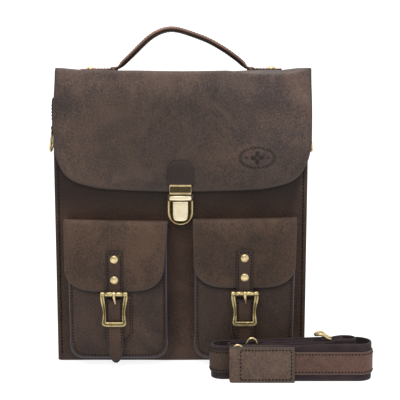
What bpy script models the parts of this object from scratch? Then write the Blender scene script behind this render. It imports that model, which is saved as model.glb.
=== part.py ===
"""Satchel bag with a folding flap, a push lock, two buckled pockets, a handle and a loose shoulder strap.

Metres, +Z up. The origin is the centre of the base, the front faces -Y and +X is to the right.
"""

import math

import bmesh
import bpy
from mathutils import Matrix, Vector

MM = 0.001
GAP = 0.3 * MM
LEATHER = 3.0 * MM

# Body
BODY_HALF_WIDTH = 156.5 * MM
BODY_HALF_DEPTH = 50.0 * MM
FLAP_TOP_Z = 365.5 * MM
BACK_TOP_Z = 362.0 * MM
FRONT_TOP_Z = 358.0 * MM
LINING_TOP_Z = 345.0 * MM
LINING_WALL = 1.0 * MM
DIVIDER_TOP_Z = 300.0 * MM

# Main flap
FLAP_HALF_WIDTH = 158.0 * MM
FLAP_BOTTOM_Z = 216.0 * MM
FLAP_CORNER_Z = 263.0 * MM
FOLD_Y = -47.5 * MM
FLAP_FRONT_Y = -53.5 * MM

# Lock
LOCK_TAB_WIDTH = 31.7 * MM
LOCK_TAB_TOP_Z = 253.4 * MM
HASP_WIDTH = 27.0 * MM
HASP_Z = (212.7 * MM, 225.4 * MM)
BRIDGE_Z = (205.3 * MM, 211.4 * MM)
LOCK_FRAME_WIDTH = 31.6 * MM
LOCK_FRAME_Z = (175.0 * MM, 204.9 * MM)
LOCK_FRAME_WALL = 3.2 * MM
THUMB_WIDTH = 18.7 * MM
THUMB_Z = (180.5 * MM, 203.8 * MM)

# Handle
HANDLE_THICKNESS = 6.8 * MM
HANDLE_PIVOT_Z = 374.5 * MM
HANDLE_ROUTE = (
    (-75.5, 374.8), (-64.0, 385.5), (-53.7, 396.0), (-43.6, 405.2), (-36.5, 410.0),
    (-28.8, 413.6), (-22.0, 415.6), (-15.2, 416.4), (-8.4, 415.6), (-1.6, 414.2),
    (15.4, 408.5), (32.4, 401.8), (49.4, 391.1), (60.0, 383.2), (70.5, 374.8),
)
HANDLE_FOOT_HALF_WIDTH = 6.5 * MM
HANDLE_HALF_WIDTH = 11.5 * MM
HANDLE_WIDENING = 20.0 * MM
HANDLE_TAB_X = (79.0 * MM, 127.0 * MM)
HANDLE_RIVET_X = 114.7 * MM

# Side tabs and D-rings
D_RING_X = 162.5 * MM
D_RING_Z = 291.5 * MM
D_RING_DROP = 30.0 * MM
D_RING_HALF_WIDTH = 11.5 * MM
D_RING_WIRE = 1.5 * MM
SIDE_TAB_TOP_Z = 326.0 * MM
SIDE_TAB_WIDTH = 18.0 * MM

# Pockets
POCKET_X = 78.6 * MM
POCKET_WIDTH = 123.0 * MM
POCKET_FRONT_Y = -78.0 * MM
POCKET_Z = (10.0 * MM, 174.0 * MM)
POCKET_WALL = 2.5 * MM
POCKET_CORNER = 15.0 * MM
POCKET_FLAP_WIDTH = 124.4 * MM
POCKET_FLAP_TOP_Z = 184.0 * MM
POCKET_FLAP_BOTTOM_Z = 98.0 * MM
POCKET_FLAP_CORNER = 22.0 * MM
POCKET_FLAP_FRONT_Y = -81.0 * MM
POCKET_HINGE_Y = -50.5 * MM

# Pocket straps and buckles
STRAP_X = 79.4 * MM
STRAP_WIDTH = 21.2 * MM
CHAPE_Z = (97.6 * MM, 147.0 * MM)
BILLET_Z = (6.0 * MM, 85.0 * MM)
PATCH_X = 78.5 * MM
PATCH_WIDTH = 35.4 * MM
PATCH_Z = (30.0 * MM, 90.0 * MM)
RIVET_Z = (111.7 * MM, 135.8 * MM)
RIVET_RADIUS = 4.8 * MM
BUCKLE_Y = -89.6 * MM
BUCKLE_THICKNESS = 3.2 * MM
BUCKLE_WIDTH = 34.2 * MM
BUCKLE_INNER_WIDTH = 21.0 * MM
BUCKLE_Z = (52.8 * MM, 96.4 * MM)
BAR_Z = 93.5 * MM
BAR_HEIGHT = 2.4 * MM
ROLLER_RADIUS = 3.0 * MM
ROLLER_BORE = 2.2 * MM
PRONG_WIDTH = 2.6 * MM

# Shoulder strap, coiled on edge in front of the bag
COIL_Y = -118.0 * MM
COIL_RADII = (17.0 * MM, 9.0 * MM, 3.5 * MM)
COIL_RIGHT_X = (206.5 * MM, 196.0 * MM, 186.0 * MM)
COIL_LEFT = ((49.3 * MM, 13.0 * MM), (62.0 * MM, 6.25 * MM))
COIL_START_X = 72.5 * MM
COIL_END_X = 100.0 * MM
WEBBING_THICKNESS = 2.2 * MM
WEBBING_Z = (0.0, 43.5 * MM)
STRIP_THICKNESS = 1.8 * MM
STRIP_HEIGHT = 26.5 * MM
SHEATH_X = (62.5 * MM, 135.0 * MM)
SHEATH_Z = (0.5 * MM, 41.0 * MM)
SHEATH_THICKNESS = 2.0 * MM

BRASS = (0.62, 0.52, 0.27)
DARK_LEATHER = (0.075, 0.048, 0.036)
FLAP_LEATHER = (0.115, 0.077, 0.060)
RED_LEATHER = (0.16, 0.075, 0.045)
WEBBING = (0.032, 0.023, 0.025)
LINING = (0.10, 0.085, 0.07)


def clear_scene():
    for obj in list(bpy.data.objects):
        bpy.data.objects.remove(obj, do_unlink=True)


def new_collection(name):
    made = bpy.data.collections.new(name)
    bpy.context.scene.collection.children.link(made)
    return made


clear_scene()
PARTS = new_collection("satchel_bag")


def material(name, rgb, roughness, metallic=0.0):
    """Return the named Principled material, made the first time it is asked for."""
    found = bpy.data.materials.get(name)
    if found:
        return found
    made = bpy.data.materials.new(name)
    made.use_nodes = True
    shader = made.node_tree.nodes["Principled BSDF"]
    shader.inputs["Base Color"].default_value = (*rgb, 1.0)
    shader.inputs["Roughness"].default_value = roughness
    shader.inputs["Metallic"].default_value = metallic
    made.diffuse_color = (*rgb, 1.0)
    return made


def leather(name):
    return material(name + "_leather", DARK_LEATHER, 0.6)


def brass(name):
    return material(name + "_brass", BRASS, 0.35, 1.0)


def empty(name, location):
    """Return an empty that stands on a joint's axis."""
    made = bpy.data.objects.new(name, None)
    made.location = location
    made.empty_display_size = 0.01
    PARTS.objects.link(made)
    return made


def place(obj, look, pivot=None):
    """Link the object as a part, give it its material, and hang it on its joint's empty without moving it."""
    PARTS.objects.link(obj)
    obj.data.materials.clear()
    obj.data.materials.append(look)
    if pivot:
        obj.parent = pivot
        obj.matrix_parent_inverse = Matrix.Translation(-pivot.location)
    return obj


PLANES = {
    "front": (math.radians(90), 0.0, 0.0),
    "side": (math.radians(90), 0.0, math.radians(90)),
    "flat": (0.0, 0.0, 0.0),
}


def plate(name, outlines, thickness, centre, plane, look, pivot=None):
    """Return a flat piece: its first outline filled, the others cut out, extruded to its thickness.

    A front plate is drawn in X and Z, a side plate in Y and Z, a flat one in X and Y.
    """
    data = bpy.data.curves.new(name, "CURVE")
    data.dimensions = "2D"
    data.fill_mode = "BOTH"
    data.extrude = thickness / 2
    for outline in outlines:
        spline = data.splines.new("POLY")
        spline.points.add(len(outline) - 1)
        for point, (x, y) in zip(spline.points, outline):
            point.co = (x, y, 0.0, 1.0)
        spline.use_cyclic_u = True
    obj = bpy.data.objects.new(name, data)
    obj.location = centre
    obj.rotation_euler = PLANES[plane]
    return place(obj, look, pivot)


def wire(name, points, radius, look, pivot=None, closed=False, resolution=2):
    """Return a round wire along the points."""
    data = bpy.data.curves.new(name, "CURVE")
    data.dimensions = "3D"
    data.bevel_depth = radius
    data.bevel_resolution = resolution
    data.use_fill_caps = not closed
    spline = data.splines.new("POLY")
    spline.points.add(len(points) - 1)
    for point, co in zip(spline.points, points):
        point.co = (*co, 1.0)
    spline.use_cyclic_u = closed
    return place(bpy.data.objects.new(name, data), look, pivot)


def box(name, low, high, rounding, look, pivot=None):
    """Return a block between two corners with rounded edges."""
    mesh = bpy.data.meshes.new(name)
    form = bmesh.new()
    bmesh.ops.create_cube(form, size=1.0)
    size = Vector(high) - Vector(low)
    bmesh.ops.scale(form, vec=size, verts=form.verts)
    form.to_mesh(mesh)
    form.free()
    obj = bpy.data.objects.new(name, mesh)
    obj.location = (Vector(low) + Vector(high)) / 2
    place(obj, look, pivot)
    if rounding:
        bevel = obj.modifiers.new("rounded_edges", "BEVEL")
        bevel.width = rounding
        bevel.segments = 2
    return obj


def turned(name, profile, centre, facing, look, pivot=None, steps=16):
    """Return a turned piece from (radius, height) pairs, listed from the top on its outer side."""
    mesh = bpy.data.meshes.new(name)
    mesh.from_pydata([(r, 0.0, h) for r, h in profile], [(i, i + 1) for i in range(len(profile) - 1)], [])
    obj = bpy.data.objects.new(name, mesh)
    obj.location = centre
    obj.rotation_euler = Vector((0, 0, 1)).rotation_difference(Vector(facing)).to_euler()
    place(obj, look, pivot)
    screw = obj.modifiers.new("turn", "SCREW")
    screw.steps = steps
    screw.render_steps = steps
    screw.use_merge_vertices = True
    screw.merge_threshold = 0.00001
    return obj


def dome(name, radius, height, centre, facing, look, pivot=None):
    """Return a rivet's or stud's domed cap that stands on its centre."""
    rim = 0.35 * height
    profile = [(0.0, height)]
    for i in range(1, 5):
        angle = math.radians(90 * i / 4)
        profile.append((radius * math.sin(angle), rim + (height - rim) * math.cos(angle)))
    profile += [(radius, 0.0), (0.0, 0.0)]
    return turned(name, profile, centre, facing, look, pivot)


def arc(cx, cy, radius, start, end, steps):
    """Return points along an arc, with its angles in degrees."""
    found = []
    for i in range(steps + 1):
        angle = math.radians(start + (end - start) * i / steps)
        found.append((cx + radius * math.cos(angle), cy + radius * math.sin(angle)))
    return found


def rounded_outline(x0, x1, z0, z1, bottom_radius, top_radius=0.0, steps=5):
    """Return a rectangle with its lower and upper corners rounded, anticlockwise from the lower left."""
    points = arc(x0 + bottom_radius, z0 + bottom_radius, bottom_radius, 180, 270, steps)
    points += arc(x1 - bottom_radius, z0 + bottom_radius, bottom_radius, 270, 360, steps)
    if top_radius:
        points += arc(x1 - top_radius, z1 - top_radius, top_radius, 0, 90, steps)
        points += arc(x0 + top_radius, z1 - top_radius, top_radius, 90, 180, steps)
    else:
        points += [(x1, z1), (x0, z1)]
    return points


def circle(cx, cy, radius, steps=20):
    return arc(cx, cy, radius, 0, 360, steps)[:-1]


def offset_line(route, distance):
    """Return the route moved to its left by the distance, with mitred corners."""
    found = []
    for i, point in enumerate(route):
        before = Vector(route[max(i - 1, 0)])
        after = Vector(route[min(i + 1, len(route) - 1)])
        here = Vector(point)
        along = (after - before).normalized()
        if 0 < i < len(route) - 1:
            one = (here - before).normalized()
            two = (after - here).normalized()
            along = (one + two).normalized()
            stretch = 1.0 / max(0.5, along.dot(one))
        else:
            stretch = 1.0
        found.append(tuple(here + Vector((-along.y, along.x)) * distance * stretch))
    return found


def ribbon(route, thickness, shift=0.0):
    """Return the outline of a strip of the given thickness along a route, moved sideways by the shift."""
    left = offset_line(route, shift + thickness / 2)
    right = offset_line(route, shift - thickness / 2)
    return left + right[::-1]


def sheet(name, rows, thickness, look, pivot=None, offset=-1.0, columns=8):
    """Return a bent panel: each row gives its half width, its y and z, and its centre in x."""
    mesh = bpy.data.meshes.new(name)
    points = []
    for centre_x, half_width, y, z in rows:
        for i in range(columns + 1):
            points.append((centre_x + half_width * (2 * i / columns - 1), y, z))
    faces = []
    for j in range(len(rows) - 1):
        for i in range(columns):
            a = j * (columns + 1) + i
            faces.append((a, a + columns + 1, a + columns + 2, a + 1))
    mesh.from_pydata(points, [], faces)
    obj = bpy.data.objects.new(name, mesh)
    place(obj, look, pivot)
    solid = obj.modifiers.new("thickness", "SOLIDIFY")
    solid.thickness = thickness
    solid.offset = offset
    solid.use_even_offset = True
    return obj


def build_body():
    """Panels, gussets and bottom, each with a gap to the next."""
    dark = leather("body")
    half = BODY_HALF_WIDTH
    depth = BODY_HALF_DEPTH
    base_top = LEATHER
    box("base_panel", (-half, -depth, 0), (half, depth, base_top), 1.0 * MM, dark)
    low = base_top + GAP
    box("front_panel", (-half, -depth, low), (half, -depth + LEATHER, FRONT_TOP_Z), 0.8 * MM, dark)
    box("back_panel", (-half, depth - LEATHER, low), (half, depth, BACK_TOP_Z), 0.8 * MM, dark)
    inner = depth - LEATHER - GAP
    for side, sign in (("left", -1), ("right", 1)):
        x0, x1 = sorted((sign * half, sign * (half - LEATHER)))
        box("gusset_" + side, (x0, -inner, low), (x1, inner, FRONT_TOP_Z), 0.8 * MM, dark)


def build_lining():
    """An open box of cloth inside the panels, and the divider between its two compartments."""
    cloth = material("lining_cloth", LINING, 0.9)
    half_x = BODY_HALF_WIDTH - LEATHER - GAP
    half_y = BODY_HALF_DEPTH - LEATHER - GAP
    bottom = LEATHER + GAP
    mesh = bpy.data.meshes.new("lining")
    form = bmesh.new()
    bmesh.ops.create_cube(form, size=1.0)
    bmesh.ops.delete(form, geom=[f for f in form.faces if f.normal.z > 0.5], context="FACES_ONLY")
    bmesh.ops.scale(form, vec=(2 * half_x, 2 * half_y, LINING_TOP_Z - bottom), verts=form.verts)
    form.to_mesh(mesh)
    form.free()
    lining = bpy.data.objects.new("lining", mesh)
    lining.location = (0, 0, (LINING_TOP_Z + bottom) / 2)
    place(lining, cloth)
    solid = lining.modifiers.new("cloth", "SOLIDIFY")
    solid.thickness = LINING_WALL
    solid.offset = -1.0
    solid.use_even_offset = True
    inner_x = half_x - LINING_WALL - GAP
    inner_bottom = bottom + LINING_WALL + GAP
    box("divider", (-inner_x, -1.0 * MM, inner_bottom), (inner_x, 1.0 * MM, DIVIDER_TOP_Z), 0.0, cloth)


def flap_half_width(z):
    """Half width of the main flap at a height: straight, then a long round corner down to the lower edge."""
    if z >= FLAP_CORNER_Z:
        return FLAP_HALF_WIDTH
    drop = (FLAP_CORNER_Z - z) / (FLAP_CORNER_Z - FLAP_BOTTOM_Z)
    return FLAP_HALF_WIDTH * (1 - drop ** 3.6) ** (1 / 1.7)


def build_flap():
    """Top strip and hanging front of the main flap."""
    look = material("flap_leather", FLAP_LEATHER, 0.6)
    hinge = empty("flap_hinge", (0, BODY_HALF_DEPTH, FLAP_TOP_Z))
    fold = empty("flap_fold", (0, FOLD_Y, FLAP_TOP_Z))
    half = FLAP_HALF_WIDTH
    low = (-half, FOLD_Y + 0.5 * MM, FLAP_TOP_Z - LEATHER)
    high = (half, BODY_HALF_DEPTH - 0.5 * MM, FLAP_TOP_Z)
    box("flap_top", low, high, 0.8 * MM, look, hinge)
    rows = []
    bend = FOLD_Y - FLAP_FRONT_Y
    for y, z in arc(FOLD_Y, FLAP_TOP_Z - bend, bend, 90, 180, 4):
        rows.append((0.0, half, y, z))
    straight = 330 * MM
    rows.append((0.0, half, FLAP_FRONT_Y, straight))
    rows.append((0.0, half, FLAP_FRONT_Y, FLAP_CORNER_Z))
    count = 12
    lowest = FLAP_BOTTOM_Z + 0.4 * MM
    for i in range(1, count + 1):
        z = FLAP_CORNER_Z - (FLAP_CORNER_Z - lowest) * math.sin(math.radians(90 * i / count))
        rows.append((0.0, flap_half_width(z), FLAP_FRONT_Y, z))
    sheet("flap_front", rows, LEATHER, look, fold)
    return hinge, fold


def build_lock(fold):
    """Leather tab and hasp on the flap; base, bridge, bezel, thumb plate and its spring on the body."""
    metal = brass("lock")
    dark = leather("lock_tab")
    front = FLAP_FRONT_Y - GAP
    half = LOCK_TAB_WIDTH / 2
    outline = rounded_outline(-half, half, HASP_Z[1] + GAP, LOCK_TAB_TOP_Z, 0.5 * MM, 12 * MM)
    plate("lock_tab", [outline], LEATHER, (0, front - LEATHER / 2, 0), "front", dark, fold)
    hasp_thickness = 3.6 * MM
    half = HASP_WIDTH / 2
    box(
        "hasp_plate", (-half, front - hasp_thickness, HASP_Z[0]), (half, front, HASP_Z[1]), 0.5 * MM, metal, fold
    )
    body_front = -BODY_HALF_DEPTH - GAP
    half = LOCK_FRAME_WIDTH / 2
    z0, z1 = LOCK_FRAME_Z
    base_thickness = 1.5 * MM
    outline = rounded_outline(-half, half, z0, BRIDGE_Z[1], half - 0.1 * MM, 0.0, 8)
    plate(
        "lock_base", [outline], base_thickness, (0, body_front - base_thickness / 2, 0), "front",
        material("lock_base_brass", (0.10, 0.08, 0.05), 0.5, 1.0),
    )
    frame_back = body_front - base_thickness - GAP
    frame_front = -59.2 * MM
    inner = half - LOCK_FRAME_WALL
    outer_arc = arc(0, z0 + half, half, 180, 360, 16)
    inner_arc = arc(0, z0 + half, inner, 360, 180, 16)
    outline = [(-half, z1)] + outer_arc + [(half, z1), (inner, z1)] + inner_arc + [(-inner, z1)]
    plate(
        "lock_frame", [outline], frame_back - frame_front, (0, (frame_back + frame_front) / 2, 0), "front", metal
    )
    half = HASP_WIDTH / 2
    box("lock_bridge", (-half, frame_front - 1.0 * MM, BRIDGE_Z[0]), (half, frame_back, BRIDGE_Z[1]), 0.6 * MM, metal)
    press = empty("thumb_press", (0, -58.2 * MM, 192 * MM))
    half = THUMB_WIDTH / 2
    outline = rounded_outline(-half, half, THUMB_Z[0], THUMB_Z[1], half - 0.6 * MM, 0.0, 6)
    plate("thumb_plate", [outline], 2.2 * MM, (0, -58.6 * MM, 0), "front", metal, press)
    turns = 3
    per_turn = 10
    back = frame_back - 0.9 * MM
    front = -57.5 * MM + 0.9 * MM
    points = []
    for i in range(turns * per_turn + 1):
        angle = 2 * math.pi * i / per_turn
        y = back + (front - back) * i / (turns * per_turn)
        points.append((2.4 * MM * math.cos(angle), y, 192 * MM + 2.4 * MM * math.sin(angle)))
    wire("lock_spring", points, 0.35 * MM, material("spring_steel", (0.5, 0.5, 0.5), 0.4, 1.0), resolution=1)


def handle_half_width(z):
    rise = min(1.0, max(0.0, (z - HANDLE_PIVOT_Z) / HANDLE_WIDENING))
    return HANDLE_FOOT_HALF_WIDTH + (HANDLE_HALF_WIDTH - HANDLE_FOOT_HALF_WIDTH) * rise


def build_handle(hinge):
    """Arched grip, its two flat ends on the top of the flap, and their keepers and rivets."""
    dark = leather("handle")
    metal = brass("handle_rivet")
    pivot = empty("handle_tilt", (0, 0, HANDLE_PIVOT_Z))
    pivot.parent = hinge
    pivot.matrix_parent_inverse = Matrix.Translation(-hinge.location)
    route = [(x * MM, z * MM) for x, z in HANDLE_ROUTE]
    mesh = bpy.data.meshes.new("handle_grip")
    upper = offset_line(route, HANDLE_THICKNESS / 2)
    lower = offset_line(route, -HANDLE_THICKNESS / 2)
    points = []
    for (ux, uz), (lx, lz), (_, z) in zip(upper, lower, route):
        half = handle_half_width(z)
        points += [(ux, -half, uz), (ux, half, uz), (lx, half, lz), (lx, -half, lz)]
    faces = [(0, 1, 2, 3)]
    for i in range(len(route) - 1):
        for j in range(4):
            a = 4 * i + j
            b = 4 * i + (j + 1) % 4
            faces.append((a, a + 4, b + 4, b))
    last = 4 * (len(route) - 1)
    faces.append((last + 3, last + 2, last + 1, last))
    mesh.from_pydata(points, [], faces)
    form = bmesh.new()
    form.from_mesh(mesh)
    bmesh.ops.recalc_face_normals(form, faces=form.faces)
    form.to_mesh(mesh)
    form.free()
    grip = bpy.data.objects.new("handle_grip", mesh)
    place(grip, dark, pivot)
    top = FLAP_TOP_Z + GAP
    for side, sign in (("left", -1), ("right", 1)):
        x0, x1 = sorted((sign * HANDLE_TAB_X[0], sign * HANDLE_TAB_X[1]))
        low = (x0, -HANDLE_HALF_WIDTH, top)
        high = (x1, HANDLE_HALF_WIDTH, top + LEATHER)
        box("handle_tab_" + side, low, high, 0.6 * MM, dark, hinge)
        centre = (sign * HANDLE_RIVET_X, 0, top + LEATHER + GAP)
        dome("handle_rivet_" + side, RIVET_RADIUS, 2.4 * MM, centre, (0, 0, 1), metal, hinge)
        keeper_inner = HANDLE_HALF_WIDTH + 0.6 * MM
        keeper_wall = 2.0 * MM
        z0 = top + LEATHER + 0.5 * MM
        outline = [
            (-keeper_inner - keeper_wall, top), (-keeper_inner, top), (-keeper_inner, z0), (keeper_inner, z0),
            (keeper_inner, top), (keeper_inner + keeper_wall, top), (keeper_inner + keeper_wall, z0 + keeper_wall),
            (-keeper_inner - keeper_wall, z0 + keeper_wall),
        ]
        x = sign * (HANDLE_TAB_X[0] + 9 * MM)
        plate("handle_keeper_" + side, [outline], 8 * MM, (x, 0, 0), "side", dark, hinge)


def build_side_rings():
    """Leather tabs on the gussets, each with an eye that holds a D-ring's bar."""
    dark = leather("side_tab")
    metal = brass("d_ring")
    eye_bore = D_RING_WIRE + 0.4 * MM
    eye_radius = eye_bore + 1.6 * MM
    inside = BODY_HALF_WIDTH + GAP
    for side, sign in (("left", -1), ("right", 1)):
        eye = (D_RING_X, D_RING_Z)
        outline = arc(*eye, eye_radius, 200, 400, 14)
        outline += [(inside + 4.5 * MM, SIDE_TAB_TOP_Z - 2 * MM), (inside + 3.0 * MM, SIDE_TAB_TOP_Z)]
        outline += [(inside, SIDE_TAB_TOP_Z), (inside, D_RING_Z + 2 * MM)]
        hole = circle(*eye, eye_bore, 16)
        shapes = [[(sign * x, z) for x, z in shape] for shape in (outline, hole)]
        plate("side_tab_" + side, shapes, SIDE_TAB_WIDTH, (0, 0, 0), "front", dark)
        pivot = empty("ring_swing_" + side, (sign * D_RING_X, 0, D_RING_Z))
        half = D_RING_HALF_WIDTH
        corner = 2.0 * MM
        bend = D_RING_Z - D_RING_DROP + half
        route = [(-half + corner, D_RING_Z), (half - corner, D_RING_Z), (half, D_RING_Z - corner)]
        route += arc(0, bend, half, 0, -180, 12)
        route += [(-half, D_RING_Z - corner)]
        points = [(sign * D_RING_X, y, z) for y, z in route]
        wire("d_ring_" + side, points, D_RING_WIRE, metal, pivot, closed=True)


def pocket_flap_half_width(z):
    rise = z - POCKET_FLAP_BOTTOM_Z
    half = POCKET_FLAP_WIDTH / 2
    if rise >= POCKET_FLAP_CORNER:
        return half
    across = 1 - rise / POCKET_FLAP_CORNER
    return half - POCKET_FLAP_CORNER * 1.25 * (1 - math.sqrt(max(0.0, 1 - across ** 2.6)))


def build_pocket_shell(side, x):
    """A pocket's front and side walls, open at the back, where the front panel closes it, and at the top."""
    half = POCKET_WIDTH / 2
    outline = rounded_outline(x - half, x + half, POCKET_Z[0], POCKET_Z[1], POCKET_CORNER)
    outline = outline[-1:] + outline[:-1]
    back = -BODY_HALF_DEPTH - GAP
    mesh = bpy.data.meshes.new("pocket_shell_" + side)
    count = len(outline)
    rim = 3.0 * MM
    ring_back = [(px, back, pz) for px, pz in outline]
    ring_front = [(px, POCKET_FRONT_Y + rim, pz) for px, pz in outline]
    inward = [
        (x + (px - x) * (1 - rim / half), POCKET_FRONT_Y, pz + (rim if pz < POCKET_Z[0] + POCKET_CORNER else 0.0))
        for px, pz in outline
    ]
    faces = [tuple(range(2 * count, 3 * count))]
    for i in range(count - 1):
        for ring in (0, 1):
            a = ring * count + i
            faces.append((a, a + count, a + count + 1, a + 1))
    mesh.from_pydata(ring_back + ring_front + inward, [], faces)
    form = bmesh.new()
    form.from_mesh(mesh)
    bmesh.ops.recalc_face_normals(form, faces=form.faces)
    front = min(form.faces, key=lambda face: face.calc_center_median().y)
    if front.normal.y > 0:
        bmesh.ops.reverse_faces(form, faces=form.faces)
    form.to_mesh(mesh)
    form.free()
    shell = bpy.data.objects.new("pocket_shell_" + side, mesh)
    place(shell, leather("pocket"))
    solid = shell.modifiers.new("leather", "SOLIDIFY")
    solid.thickness = POCKET_WALL
    solid.offset = -1.0


def build_pocket_flap(side, x, pivot):
    rows = []
    half = POCKET_FLAP_WIDTH / 2
    thickness = 2.5 * MM
    bend = 6.0 * MM
    rows.append((x, half, POCKET_HINGE_Y - GAP, POCKET_FLAP_TOP_Z))
    for y, z in arc(POCKET_FLAP_FRONT_Y + bend, POCKET_FLAP_TOP_Z - bend, bend, 90, 180, 4):
        rows.append((x, half, y, z))
    rows.append((x, half, POCKET_FLAP_FRONT_Y, POCKET_FLAP_BOTTOM_Z + POCKET_FLAP_CORNER))
    count = 7
    for i in range(1, count + 1):
        z = POCKET_FLAP_BOTTOM_Z + POCKET_FLAP_CORNER * (1 - math.sin(math.radians(90 * i / count)))
        rows.append((x, pocket_flap_half_width(z), POCKET_FLAP_FRONT_Y, z))
    look = material("pocket_flap_leather", FLAP_LEATHER, 0.6)
    sheet("pocket_flap_" + side, rows, thickness, look, pivot, columns=6)


def build_buckle(side, x, pivot):
    """Buckle frame, two roller sleeves on its top bar, and the prong between them."""
    metal = brass("buckle")
    half = BUCKLE_WIDTH / 2
    inner = BUCKLE_INNER_WIDTH / 2
    z0, z1 = BUCKLE_Z
    bar_low = BAR_Z - BAR_HEIGHT / 2
    bar_high = BAR_Z + BAR_HEIGHT / 2
    window_low = z0 + 7.0 * MM
    corner = 2.0 * MM
    waist = 1.6 * MM
    right = [(half - corner, z0), (half, z0 + corner), (half - waist, z0 + 16 * MM), (half, z1 - 6 * MM)]
    right += [(half - 1.5 * MM, z1), (inner, z1), (inner, bar_high)]
    left = [(-px, pz) for px, pz in right[::-1]]
    window = [(-inner, window_low), (inner, window_low), (inner, bar_low), (-inner, bar_low)]
    frame = [[(x + px, pz) for px, pz in shape] for shape in (right + left, window)]
    plate("buckle_frame_" + side, frame, BUCKLE_THICKNESS, (0, BUCKLE_Y, 0), "front", metal, pivot)
    sleeve = [circle(BUCKLE_Y, BAR_Z, ROLLER_RADIUS), circle(BUCKLE_Y, BAR_Z, ROLLER_BORE)]
    room = inner - PRONG_WIDTH / 2
    length = room - 2 * GAP
    for place_name, sign in (("a", -1), ("b", 1)):
        centre_x = x + sign * (PRONG_WIDTH / 2 + room / 2)
        name = "roller_" + side + "_" + place_name
        axle = empty(name + "_axis", (centre_x, BUCKLE_Y, BAR_Z))
        axle.parent = pivot
        axle.matrix_parent_inverse = Matrix.Translation(-pivot.location)
        plate(name, sleeve, length, (centre_x, 0, 0), "side", metal, axle)
    axle = empty("prong_axis_" + side, (x, BUCKLE_Y, BAR_Z))
    axle.parent = pivot
    axle.matrix_parent_inverse = Matrix.Translation(-pivot.location)
    eye = arc(BUCKLE_Y, BAR_Z, ROLLER_RADIUS + 0.2 * MM, -70, 250, 18)
    tip_z = BAR_Z - 14.5 * MM
    needle = [(BUCKLE_Y + 0.4 * MM, tip_z + 1.0 * MM), (BUCKLE_Y + 1.0 * MM, tip_z)]
    needle += [(BUCKLE_Y + 1.6 * MM, tip_z + 1.2 * MM)]
    plate(
        "prong_" + side, [eye + needle, sleeve[1]], PRONG_WIDTH - 2 * GAP, (x, 0, 0), "side", metal, axle
    )


def build_pocket(side, sign):
    """One pocket with its flap, strap pieces, buckle and hidden snap."""
    x = sign * POCKET_X
    strap_x = sign * STRAP_X
    build_pocket_shell(side, x)
    pivot = empty("pocket_hinge_" + side, (x, POCKET_HINGE_Y, POCKET_FLAP_TOP_Z))
    build_pocket_flap(side, x, pivot)
    dark = leather("pocket_strap")
    half = STRAP_WIDTH / 2
    front = POCKET_FLAP_FRONT_Y - GAP
    chape = rounded_outline(strap_x - half, strap_x + half, CHAPE_Z[0], CHAPE_Z[1], 0.3 * MM, 4 * MM)
    plate("chape_" + side, [chape], LEATHER, (0, front - LEATHER / 2, 0), "front", dark, pivot)
    for place_name, z in zip(("lower", "upper"), RIVET_Z):
        centre = (strap_x, front - LEATHER - GAP, z)
        name = "strap_rivet_" + side + "_" + place_name
        dome(name, RIVET_RADIUS, 2.2 * MM, centre, (0, -1, 0), brass("rivet"), pivot)
    build_buckle(side, strap_x, pivot)
    billet_y = BUCKLE_Y + BUCKLE_THICKNESS / 2 + 2.0 * MM
    tail = [(strap_x - half, BILLET_Z[1]), (strap_x - half, BILLET_Z[0] + 12 * MM)]
    tail += [(strap_x - 2.5 * MM, BILLET_Z[0] + 0.8 * MM), (strap_x + 2.5 * MM, BILLET_Z[0] + 0.8 * MM)]
    tail += [(strap_x + half, BILLET_Z[0] + 12 * MM), (strap_x + half, BILLET_Z[1])]
    plate("billet_" + side, [tail], 2.4 * MM, (0, billet_y, 0), "front", dark, pivot)
    patch_x = sign * PATCH_X
    half = PATCH_WIDTH / 2
    outline = rounded_outline(patch_x - half, patch_x + half, PATCH_Z[0], PATCH_Z[1], half - 0.2 * MM, 0.0, 8)
    thickness = 2.0 * MM
    patch_front = POCKET_FRONT_Y - GAP - thickness
    plate("snap_patch_" + side, [outline], thickness, (0, patch_front + thickness / 2, 0), "front", dark)
    centre = (strap_x, patch_front - GAP, 44 * MM)
    dome("snap_stud_" + side, 4.2 * MM, 2.0 * MM, centre, (0, -1, 0), brass("snap"))


def coil_route():
    """Centreline of the coiled webbing, seen from above: runs along X joined by half circles."""
    route = [(COIL_START_X, COIL_Y - COIL_RADII[0])]
    for i, (radius, right) in enumerate(zip(COIL_RADII, COIL_RIGHT_X)):
        route += arc(right, COIL_Y, radius, -90, 90, 12 - 2 * i)
        if i < len(COIL_LEFT):
            left, turn = COIL_LEFT[i]
            back_y = COIL_Y + radius
            route += arc(left, back_y - turn, turn, 90, 270, 10)
    route.append((COIL_END_X, COIL_Y + COIL_RADII[-1]))
    return route


def oval(x, y, half_width, half_height, z, steps=7):
    """Return the route of an upright oval link in X and Z."""
    straight = half_height - half_width
    points = [(px, y, pz) for px, pz in arc(x, z + straight, half_width, 0, 180, steps)]
    points += [(px, y, pz) for px, pz in arc(x, z - straight, half_width, 180, 360, steps)]
    return points


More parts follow.
